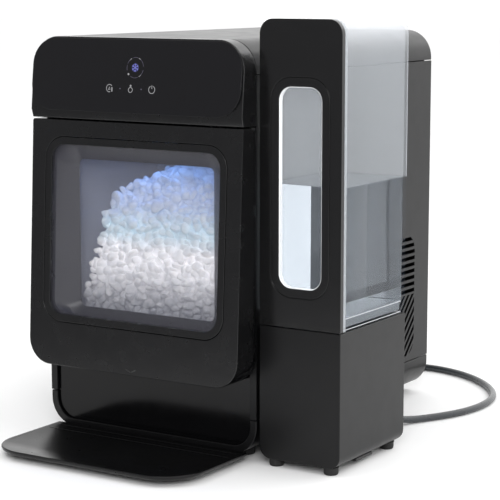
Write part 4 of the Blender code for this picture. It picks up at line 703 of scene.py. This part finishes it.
def build_rear():
    refine("rear_panel", SATIN, "cabinet", 0.0003)
    refine("power_inlet", DARK, "cabinet", 0.0004)
    refine("cabinet_hose_port", MID_GREY, "cabinet", 0.0003)
    refine("drain_plug", RUBBER, "drain_stopper", 0.0004)
    low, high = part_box("power_inlet")
    centre = (low + high) / 2 - CABINET
    pins = []
    for x, z in ((-0.0065, -0.0012), (0.0, 0.0030), (0.0065, -0.0012)):
        pins.append(block((centre.x + x - 0.0008, high.y - CABINET.y - 0.0155, centre.z + z - 0.0021),
                          (centre.x + x + 0.0008, high.y - CABINET.y - 0.0040, centre.z + z + 0.0021)))
    piece("inlet_pins", joined(*pins), STEEL, "cabinet", "steel", edge=0.0003)
    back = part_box("rear_panel")[1].y - CABINET.y
    heads = [screw_head((side * x, back, z)) for x, z in ((0.108, 0.040), (0.108, 0.215), (0.100, 0.392))
             for side in (-1, 1)]
    piece("rear_screws", joined(*heads), STEEL, "cabinet", "steel")


def build_feet():
    for group, count in (("foot_", 4), ("tank_foot_", 4)):
        for number in range(1, count + 1):
            node = f"{group}{number}"
            low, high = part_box(node)
            centre = (low + high) / 2 - CABINET
            radius = (high.x - low.x) / 2
            top = high.z
            profile = [(0.0, top), (radius, top), (radius, top - 0.0008), (radius * 0.93, top - 0.0016),
                       (radius * 0.93, 0.0030), (radius * 0.90, 0.0012), (radius * 0.82, 0.0003),
                       (radius * 0.70, 0.0), (0.0, 0.0)]
            piece(f"rubber_{node}", lathe(profile, (centre.x, centre.y, 0.0)), RUBBER, "cabinet",
                  stands_for=(node,))


# ---------------------------------------------------------------- head and its marks
def build_head():
    x, lean, top = HALF_WIDTH, PANEL_BOTTOM_Z, CABINET_TOP

    def head_line(inset):
        side, radius = x - inset, TOP_RADIUS - inset
        return ([(side, HEAD_BOTTOM_Z + inset), (side, lean)]
                + arc((side - radius, top - inset - radius), radius, 0, 90)
                + arc((-side + radius, top - inset - radius), radius, 90, 180)
                + [(-side, lean), (-side, HEAD_BOTTOM_Z + inset)])

    mesh = loft([(head_line(HEAD_SKIN), front_depth(HEAD_SKIN)), (head_line(HEAD_SKIN), -TOUCH),
                 (head_line(0.0), -TOUCH), (head_line(0.0), shell_y)])
    fold = bmesh.new()
    fold.from_mesh(mesh)
    for depth in (shell_y, front_depth(HEAD_SKIN)):
        ends = [v for v in fold.verts if abs(v.co.z - lean) < 1e-6 and abs(v.co.y - depth(lean)) < 1e-6]
        bmesh.ops.connect_verts(fold, verts=ends)
    fold.to_mesh(mesh)
    fold.free()
    piece("head_shell", mesh, FACE, "cabinet", stands_for=("head_housing",), edge=0.0008)
    half = HALF_WIDTH - PANEL_MARGIN
    face = rounded(-half, half, PANEL_BOTTOM_Z, PANEL_TOP_Z, PANEL_RADIUS)
    piece("touch_panel", loft([(face, panel_y), (face, lambda z: shell_y(z) - TOUCH)]), PIANO, "cabinet",
          stands_for=("control_panel",), edge=0.0007)


MARK_LIFT = 0.00008          # printed marks stand this far out from the panel


def strip_mark(path, width, surface):
    """A flat printed stroke along points in X and Z, lying on an upright surface."""
    shape = bmesh.new()
    left, right = [], []
    for i, (x, z) in enumerate(path):
        before = path[max(i - 1, 0)]
        after = path[min(i + 1, len(path) - 1)]
        run = Vector((after[0] - before[0], after[1] - before[1])).normalized()
        side = Vector((-run.y, run.x)) * width / 2
        for row, sign in ((left, 1), (right, -1)):
            px, pz = x + sign * side.x, z + sign * side.y
            row.append(shape.verts.new((px, surface(pz) - MARK_LIFT, pz)))
    for i in range(len(path) - 1):
        shape.faces.new((left[i], right[i], right[i + 1], left[i + 1]))
    made = bpy.data.meshes.new("mark")
    shape.to_mesh(made)
    shape.free()
    return made


def dot_mark(x, z, radius, surface):
    shape = bmesh.new()
    rim = [shape.verts.new((u, surface(v) - MARK_LIFT, v)) for u, v in arc((x, z), radius, 0, 345, 23)]
    shape.faces.new(rim)
    made = bpy.data.meshes.new("mark")
    shape.to_mesh(made)
    shape.free()
    return made


def marks(name, shapes, finish, body="cabinet"):
    mesh = joined(*shapes)
    thick = piece(name, mesh, finish, body, "panel_glass" if body == "cabinet" else "face")
    layer = thick.modifiers.new("ink", "SOLIDIFY")
    layer.thickness = 0.00012
    layer.offset = 0.0
    return thick


def build_marks():
    centre = (0.002, 0.382)
    ring = [strip_mark(arc(centre, 0.0098, start, end, 10), 0.00042, panel_y)
            for start, end in ((8, 62), (74, 108), (122, 158), (166, 196), (236, 292), (304, 348))]
    marks("panel_ring", ring, MARK_DIM)
    bright = [strip_mark(arc(centre, 0.0098, start, end, 6), 0.0006, panel_y)
              for start, end in ((52, 68), (118, 136), (300, 316))]
    bright.append(dot_mark(centre[0] - 0.0076, centre[1] - 0.0064, 0.0010, panel_y))
    marks("panel_ring_lights", bright, MARK_WHITE)

    flake = []
    for arm in range(6):
        angle = math.radians(60 * arm + 30)
        run = Vector((math.cos(angle), math.sin(angle)))
        side = Vector((-run.y, run.x))
        middle = Vector(centre)
        tip = middle + run * 0.0041
        flake.append(strip_mark([tuple(middle), tuple(tip)], 0.0007, panel_y))
        for sign in (-1, 1):
            root = middle + run * 0.0022
            end = middle + run * 0.0036 + side * sign * 0.0014
            flake.append(strip_mark([tuple(root), tuple(end)], 0.0006, panel_y))
    marks("panel_snowflake", flake, MARK_BLUE)

    z = 0.3615
    stroke = 0.00062
    lit = [strip_mark(arc((0.0231, z), 0.0036, 115, 425, 24), stroke, panel_y),
           strip_mark([(0.0231, z + 0.0042), (0.0231, z + 0.0008)], stroke, panel_y)]
    middle_x = -0.0022
    lit += [strip_mark(arc((middle_x, z - 0.0010), 0.0024, 0, 360, 20), stroke, panel_y),
            dot_mark(middle_x, z + 0.0030, 0.0010, panel_y)]
    left_x = -0.0275
    lit += [strip_mark(arc((left_x, z), 0.0036, 40, 290, 20), stroke, panel_y),
            strip_mark([(left_x - 0.0011, z - 0.0014), (left_x, z + 0.0012), (left_x + 0.0011, z - 0.0014),
                        (left_x - 0.0011, z - 0.0014)], stroke, panel_y),
            strip_mark([(left_x + 0.0032, z - 0.0032), (left_x + 0.0030, z + 0.0010)], 0.0012, panel_y)]
    marks("panel_icons", lit, MARK_WHITE)
    marks("panel_dots", [dot_mark(x, z, 0.0007, panel_y) for x in (-0.0147, 0.0106)], MARK_DIM)

    chevron = [strip_mark([(-0.004, 0.0860), (0.002, 0.0832), (0.008, 0.0860)], 0.0009, front_y)]
    marks("drawer_grip_mark", chevron, MARK_GREY, "drawer")


# ---------------------------------------------------------------- ice drawer
def build_drawer_front():
    door = rounded(-HALF_WIDTH, HALF_WIDTH, DOOR_BOTTOM_Z, DOOR_TOP_Z, DOOR_RADIUS, DOOR_TOP_RADIUS)
    groove = BEZEL_WIDTH + 0.0006
    piece("drawer_face", loft([(door, front_y), (door, DOOR_BACK_Y), (window_line(groove), DOOR_BACK_Y),
                               (window_line(groove), front_y)], ring=True),
          FACE, "drawer", stands_for=("drawer_front",), edge=0.0008)
    pocket = GLASS_OVERLAP + TOUCH
    piece("window_frame",
          loft([(window_line(BEZEL_WIDTH), front_y), (window_line(BEZEL_WIDTH), front_depth(BEZEL_DEPTH)),
                (window_line(pocket), front_depth(BEZEL_DEPTH)),
                (window_line(pocket), front_depth(BEZEL_LIP)),
                (window_line(0.0), front_depth(BEZEL_LIP)), (window_line(0.0), front_y)], ring=True),
          FACE, "drawer", stands_for=("window_bezel",), edge=0.0006)
    glass_front = BEZEL_LIP + TOUCH
    piece("window_pane",
          loft([(window_line(GLASS_OVERLAP), front_depth(glass_front)),
                (window_line(GLASS_OVERLAP), front_depth(glass_front + GLASS_THICKNESS))]),
          DOOR_GLASS, "drawer", stands_for=("window_glass",))
    pane_back = DOOR_BACK_Y - 0.001
    pane_front = pane_back - INNER_PANE_THICKNESS
    rebate = INNER_PANE_OVERLAP + TOUCH
    reveal_front = BEZEL_DEPTH + TOUCH
    piece("window_surround",
          loft([(window_line(BEZEL_WIDTH), front_depth(reveal_front)),
                (window_line(BEZEL_WIDTH), DOOR_BACK_Y),
                (inner_line(rebate), DOOR_BACK_Y), (inner_line(rebate), pane_front - TOUCH),
                (inner_line(0.0), pane_front - TOUCH), (inner_line(0.0008), pane_front - 0.0012),
                (inner_line(REVEAL_STEP), REVEAL_STEP_Y), (window_line(0.0), front_depth(reveal_front))],
               ring=True),
          REVEAL_GREY, "drawer", stands_for=("window_reveal",), edge=0.0004)
    piece("inner_window_pane",
          loft([(inner_line(INNER_PANE_OVERLAP), pane_front), (inner_line(INNER_PANE_OVERLAP), pane_back)]),
          INNER_GLASS, "drawer", stands_for=("inner_pane",))
    refine("drawer_gasket", SEAL, "drawer", 0.0005)


def build_drawer_box():
    half = BIN_WIDTH / 2
    outer = rounded(-half, half, BIN_FRONT_Y, BIN_BACK_Y, BIN_RADIUS)
    inner = rounded(-half + WALL, half - WALL, BIN_FRONT_Y + WALL, BIN_BACK_Y - WALL, BIN_RADIUS - WALL)
    piece("clear_ice_bin",
          loft([(outer, BIN_BOTTOM_Z), (outer, BIN_TOP_Z), (inner, BIN_TOP_Z), (inner, BIN_BOTTOM_Z + WALL)],
               flat=True),
          BIN_CLEAR, "drawer", stands_for=("ice_bin",), edge=0.0006)
    refine("drawer_carriage", MID_GREY, "drawer", 0.0005)


def eased(value):
    value = min(max(value, 0.0), 1.0)
    return value * value * (3 - 2 * value)


def heap_height(x, y):
    """Top of the ice heap at a point of the bin: a bank that starts low at the left."""
    bank = 0.150 + 0.080 * eased((x + 0.100) / 0.042)
    sag = 1 - 0.55 * eased((x - 0.02) / 0.07)
    crown = 0.038 * eased((y - 0.006) / 0.050) * eased((x + 0.092) / 0.050) * sag
    lumps = 0.0035 * math.sin(x * 95.0 + y * 40.0) + 0.0025 * math.sin(x * 41.0 - y * 88.0)
    return bank + crown + lumps


def nugget(ball, place, size, rng):
    """The corners of one rough ice nugget."""
    squash = Vector((rng.uniform(0.70, 1.20), rng.uniform(0.70, 1.20), rng.uniform(0.55, 1.0)))
    dents = []
    for _ in range(4):
        direction = Vector((rng.gauss(0, 1), rng.gauss(0, 1), rng.gauss(0, 1))).normalized()
        dents.append((direction, rng.uniform(0.35, 0.75)))
    tip = Matrix.Rotation(rng.uniform(0, math.tau), 3, "X")
    turn = tip @ Matrix.Rotation(rng.uniform(0, math.tau), 3, "Z")
    corners = []
    for corner in ball:
        point = corner.copy()
        for direction, limit in dents:
            reach = point.dot(direction)
            if reach > limit:
                point -= direction * (reach - limit) * 0.9
        corners.append(Vector(place) + turn @ Vector(a * b for a, b in zip(point, squash)) * size)
    return corners


def build_ice():
    """Nuggets over the front, sides and top of the heap, on a plain core that fills the rest."""
    rng = random.Random(7)
    pitch = NUGGET_PITCH
    room = NUGGET_ROOM
    low_x, high_x = -BIN_WIDTH / 2 + WALL + room, BIN_WIDTH / 2 - WALL - room
    low_y, high_y = BIN_FRONT_Y + WALL + room, BIN_BACK_Y - WALL - room
    low_z = BIN_BOTTOM_Z + WALL + room
    template = bmesh.new()
    bmesh.ops.create_icosphere(template, subdivisions=2, radius=1.0)
    ball = [vertex.co.copy() for vertex in template.verts]
    sides = [[vertex.index for vertex in face.verts] for face in template.faces]
    template.free()
    corners, faces = [], []
    columns = int((high_x - low_x) / pitch)
    rows = int((high_y - low_y) / pitch)
    for i in range(columns + 1):
        for j in range(rows + 1):
            x0 = low_x + i * (high_x - low_x) / columns
            y0 = low_y + j * (high_y - low_y) / rows
            z = low_z + rng.uniform(0.0, pitch * 0.5)
            while z < heap_height(x0, y0):
                near_top = z > heap_height(x0, y0) - 2.1 * pitch
                if near_top or j < 2 or j == rows or i in (0, columns):
                    x = min(max(x0 + rng.uniform(-0.5, 0.5) * pitch, low_x), high_x)
                    y = min(max(y0 + rng.uniform(-0.5, 0.5) * pitch, low_y), high_y)
                    place = (x, y, min(z, heap_height(x, y) + 0.002))
                    first = len(corners)
                    corners += nugget(ball, place, rng.uniform(*NUGGET_SIZES), rng)
                    faces += [[first + k for k in side] for side in sides]
                z += pitch * rng.uniform(0.70, 1.0)
    mesh = bpy.data.meshes.new("nuggets")
    mesh.from_pydata(corners, [], faces)
    piece("ice_nuggets", mesh, ICE, "drawer", "clear_bin")

    core = bmesh.new()
    steps = 12
    inset = 0.0065
    tops, floors = [], []
    for i in range(steps + 1):
        x = low_x + inset + (high_x - low_x - 2 * inset) * i / steps
        tops.append([])
        floors.append([])
        for j in range(steps + 1):
            y = low_y + inset + (high_y - low_y - 2 * inset) * j / steps
            tops[i].append(core.verts.new((x, y, heap_height(x, y) - 0.010)))
            floors[i].append(core.verts.new((x, y, low_z - 0.004)))
    for i in range(steps):
        for j in range(steps):
            core.faces.new((tops[i][j], tops[i + 1][j], tops[i + 1][j + 1], tops[i][j + 1]))
            core.faces.new((floors[i][j], floors[i][j + 1], floors[i + 1][j + 1], floors[i + 1][j]))
    for k in range(steps):
        for a, b in (((k, 0), (k + 1, 0)), ((k + 1, steps), (k, steps)), ((steps, k), (steps, k + 1)),
                     ((0, k + 1), (0, k))):
            core.faces.new((floors[a[0]][a[1]], floors[b[0]][b[1]], tops[b[0]][b[1]], tops[a[0]][a[1]]))
    bmesh.ops.recalc_face_normals(core, faces=core.faces)
    mesh = bpy.data.meshes.new("core")
    core.to_mesh(mesh)
    core.free()
    piece("ice_core", mesh, ICE, "drawer", "clear_bin")


def build_bay():
    refine("bay_liner", PALE, "cabinet", 0.0005)
    for side in ("left", "right"):
        refine("drawer_rail_" + side, STEEL, "cabinet", 0.0002)
    refine("bay_lamp", LED, "cabinet", 0.0008)


# ---------------------------------------------------------------- tray
def tray_line(inset):
    half = TRAY_WIDTH / 2 - inset
    return rounded(-half, half, -TRAY_REACH + inset, -TOUCH - inset, TRAY_RADIUS - inset, 0.0008)


def build_tray():
    bottom = TRAY_TOP_Z - TRAY_THICKNESS
    piece("tray_plate",
          loft([(tray_line(0.0030), bottom), (tray_line(0.0006), bottom + 0.0018),
                (tray_line(0.0), bottom + 0.0030),
                (tray_line(0.0), TRAY_TOP_Z - 0.0007), (tray_line(0.0007), TRAY_TOP_Z),
                (tray_line(0.0030), TRAY_TOP_Z), (tray_line(0.0042), TRAY_TOP_Z - 0.0006)], flat=True),
          TRAY_BLACK, "tray", stands_for=("drip_tray",), edge=0.0004)
    low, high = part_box("drip_tray")
    top = GROUND_GAP - TOUCH
    tongue = block((-0.075, -0.020, top - 0.0034), (0.075, high.y - CABINET.y, top))
    piece("tray_tongue", tongue, DARK, "tray", "face", edge=0.0006)
    half = TRAY_WIDTH / 2 - 0.006
    for number, (near, far) in enumerate(((-0.0250, -0.0240), (-0.0098, -0.0088)), 1):
        ridge = block((-half, near, TRAY_TOP_Z - 0.0010), (half, far, TRAY_TOP_Z - 0.0001))
        piece(f"tray_ridge_{number}", ridge, TRAY_BLACK, "tray", "face", edge=0.0003)


# ---------------------------------------------------------------- tank
def build_tank_base():
    refine("tank_base", SATIN, "cabinet", 0.0008)
    refine("pump_cover", DARK, "cabinet", 0.0006)
    refine("dock_cup", MID_GREY, "cabinet", 0.0004)
    refine("tank_hose_port", MID_GREY, "cabinet", 0.0003)


def build_tank():
    hull = loft([(tank_line(VESSEL_INSET), VESSEL_FRONT), (tank_line(VESSEL_INSET), TANK_DEPTH)])
    hollow = loft([(tank_line(WALL), VESSEL_FRONT + WALL), (tank_line(WALL), TANK_DEPTH - WALL)], inward=True)
    piece("water_vessel", joined(hull, hollow), VESSEL, "tank", stands_for=("tank_vessel",), edge=0.0008)
    flange_back = VESSEL_FRONT + FLANGE_DEPTH
    line = 0.0005
    near, far = VESSEL_FRONT + line, flange_back - line
    outer, inner = tank_line(0.0), tank_line(VESSEL_INSET)
    piece("vessel_flange", loft([(outer, near), (outer, far), (inner, far), (inner, near)], ring=True),
          VESSEL_FLANGE, "tank", "smoked", edge=0.0001)
    rail = 0.0007
    back, right = TANK_DEPTH - rail, TANK_RIGHT - VESSEL_INSET
    floor_top = TANK_LOW + VESSEL_FLOOR_HEIGHT
    inside = WALL + TOUCH
    # Painted highlights: a pale line up the vessel's back right edge above the water, and a pale ring at the
    # front and at the back of the flange.
    rail_highlights = [block((right - 0.0002, back, WATER_Z), (right + 0.0003, back + rail, TANK_TOP - TANK_RADIUS))]
    for y in (VESSEL_FRONT, flange_back - line):
        rail_highlights.append(loft([(outer, y), (outer, y + line), (inner, y + line), (inner, y)], ring=True))
    edges = []
    for z in FLANGE_TICKS_Z:
        edges.append(block((TANK_RIGHT - VESSEL_INSET, VESSEL_FRONT + 0.0014, z),
                           (TANK_RIGHT, flange_back - 0.0010, z + 0.0009)))
    left_wall, right_wall = TANK_LEFT + inside, right - inside
    front_wall, back_wall = VESSEL_FRONT + inside, back - inside
    # Pale lines painted as highlights along the bottom and top edges of the clear floor.
    for z in (TANK_LOW + 0.0002, floor_top - rail):
        edges.append(block((right_wall - rail, front_wall, z), (right_wall, back_wall, z + rail)))
        edges.append(block((left_wall, front_wall, z), (right_wall, front_wall + rail, z + rail)))
        edges.append(block((left_wall, back_wall - rail, z), (right_wall, back_wall, z + rail)))
    piece("vessel_ticks_and_edge_highlights", joined(*edges), VESSEL_TICKS_AND_EDGE_HIGHLIGHTS, "tank", "smoked")
    piece("vessel_rail_highlights", joined(*rail_highlights), VESSEL_RAIL_HIGHLIGHTS, "tank", "smoked")
    # The clear floor's top is let a little way into the water, so that no gap shows between them.
    piece("vessel_floor",
          block((left_wall, front_wall, TANK_LOW + WALL + TOUCH),
                (right_wall - rail - TOUCH, back_wall - rail - TOUCH, floor_top + 0.0008)),
          VESSEL_FLOOR, "tank", "smoked")
    water_line = rounded(left_wall, right_wall, floor_top + TOUCH, WATER_Z, 0.0006)
    piece("tank_water", loft([(water_line, front_wall), (water_line, TANK_DEPTH - inside)]), WATER,
          "tank", "smoked")

    groove_in, groove_out, groove_depth = 0.0081, 0.0090, 0.0010
    piece("tank_face",
          loft([(tank_line(0.0), 0.0), (tank_line(0.0), TANK_PANEL_THICKNESS),
                (sight_line(0.0), TANK_PANEL_THICKNESS),
                (sight_line(0.0), 0.0), (sight_line(groove_in), 0.0), (sight_line(groove_in), groove_depth),
                (sight_line(groove_out), groove_depth), (sight_line(groove_out), 0.0)], ring=True),
          TANK_FACE, "tank", stands_for=("tank_front_panel",), edge=0.0006)
    rim_width = 0.0010
    piece("sight_rim",
          loft([(sight_line(-TOUCH), 0.0005), (sight_line(-TOUCH), TANK_PANEL_THICKNESS),
                (sight_line(-rim_width), TANK_PANEL_THICKNESS), (sight_line(-rim_width), 0.0012)], ring=True),
          RIM_CLEAR, "tank", "clear_glass", edge=0.0002)
    piece("sight_pane",
          loft([(sight_line(-rim_width), 0.0018), (sight_line(-rim_width), 0.0040)]),
          SIGHT, "tank", stands_for=("sight_window",))
    refine("tank_cap", DARK, "tank", 0.0004)
    refine("valve_plunger", MID_GREY, "plunger", 0.0003)


# ---------------------------------------------------------------- works inside, kept as the CAD has them
def finish_works():
    finishes = {
        "control_board": BOARD, "main_board": BOARD, "board_shelf": MID_GREY, "evaporator_barrel": STEEL,
        "gear_motor": DARK, "auger": STEEL, "ice_chute": PALE, "water_reservoir": PALE,
        "inlet_tube": SILICONE,
        "compressor": ENAMEL, "condenser": FINS, "fan_shroud": DARK, "fan_motor": STEEL, "fan": DARK,
        "discharge_line": COPPER, "transfer_pump": DARK,
    }
    for node, finish in finishes.items():
        data = NODES[node].data
        data.materials.clear()
        data.materials.append(finish)


# ---------------------------------------------------------------- floor and light
def add_floor():
    bpy.ops.mesh.primitive_plane_add(size=30.0, location=(0.0, 0.0, 0.0))
    floor = bpy.context.object
    floor.name = "floor"
    made, tree, shader = node_tree("white_floor")
    shader.inputs["Base Color"].default_value = (0.93, 0.93, 0.93, 1.0)
    shader.inputs["Roughness"].default_value = 0.9
    shader.inputs["Specular IOR Level"].default_value = 0.1
    floor.data.materials.append(made)


def area_light(name, place, target, size, power, colour=(1.0, 1.0, 1.0)):
    data = bpy.data.lights.new(name, "AREA")
    data.shape = "RECTANGLE"
    data.size, data.size_y = size
    data.energy = power
    data.color = colour
    lamp = bpy.data.objects.new(name, data)
    bpy.context.scene.collection.objects.link(lamp)
    lamp.location = place
    lamp.rotation_euler = (Vector(target) - Vector(place)).to_track_quat("-Z", "Y").to_euler()
    return lamp


def reflection_card():
    """A grey board at the front left, which only the glossy faces see."""
    card = bpy.data.objects.new("reflection_card", block((-1.5, -0.005, -0.6), (1.5, 0.005, 1.3)))
    bpy.context.scene.collection.objects.link(card)
    card.location = (-0.34, -0.52, 0.0)
    card.rotation_euler = (0.0, 0.0, math.radians(-32.3))
    card.visible_camera = False
    card.visible_diffuse = False
    card.visible_transmission = False
    card.visible_shadow = False
    made, tree, shader = node_tree("card_grey")
    shader.inputs["Base Color"].default_value = (0.0, 0.0, 0.0, 1.0)
    shader.inputs["Emission Color"].default_value = (1.0, 1.0, 1.04, 1.0)
    shader.inputs["Emission Strength"].default_value = 0.31
    card.data.materials.append(made)


def add_light():
    """A white studio, brightest behind and darker at the front left, and a blue lamp in the bay."""
    world = bpy.data.worlds.new("studio")
    bpy.context.scene.world = world
    world.use_nodes = True
    tree = world.node_tree
    backdrop = tree.nodes["Background"]
    place = tree.nodes.new("ShaderNodeTexCoord")
    toward = tree.nodes.new("ShaderNodeVectorMath")
    toward.operation = "DOT_PRODUCT"
    toward.inputs[1].default_value = (-0.50, -0.86, -0.05)
    tree.links.new(place.outputs["Generated"], toward.inputs[0])
    dark = spread_between(tree, toward.outputs["Value"], 0.15, 0.80, 0.0, 1.0)
    tree.links.new(mixed(tree, dark, (1.0, 1.0, 1.0), (0.25, 0.25, 0.26)), backdrop.inputs["Color"])
    strength = spread_between(tree, toward.outputs["Value"], -0.75, 0.10, 1.7, 1.0)
    tree.links.new(strength, backdrop.inputs["Strength"])
    area_light("key", (-0.6, -1.2, 2.2), (0.0, 0.0, 0.1), (1.6, 1.2), 10.0)
    area_light("rear_fill", (0.9, 1.6, 1.7), (0.0, 0.0, 0.1), (1.8, 1.4), 6.0)
    area_light("front_fill", (1.0, -1.7, 0.95), (-0.05, 0.0, 0.2), (0.8, 0.8), 22.0)
    low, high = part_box("bay_lamp")
    middle = (low + high) / 2
    area_light("bay_glow", (middle.x - 0.030, middle.y - 0.004, low.z - 0.002),
               (middle.x - 0.050, middle.y - 0.002, 0.0), (0.09, 0.02), 0.026, (0.14, 0.36, 1.0))
    reflection_card()
    bpy.context.scene.view_settings.view_transform = "Standard"


add_camera()
add_hose()
build_casing()
build_rear()
build_feet()
build_head()
build_marks()
build_drawer_front()
build_drawer_box()
build_ice()
build_bay()
build_tray()
build_tank_base()
build_tank()
finish_works()
add_floor()
add_light()
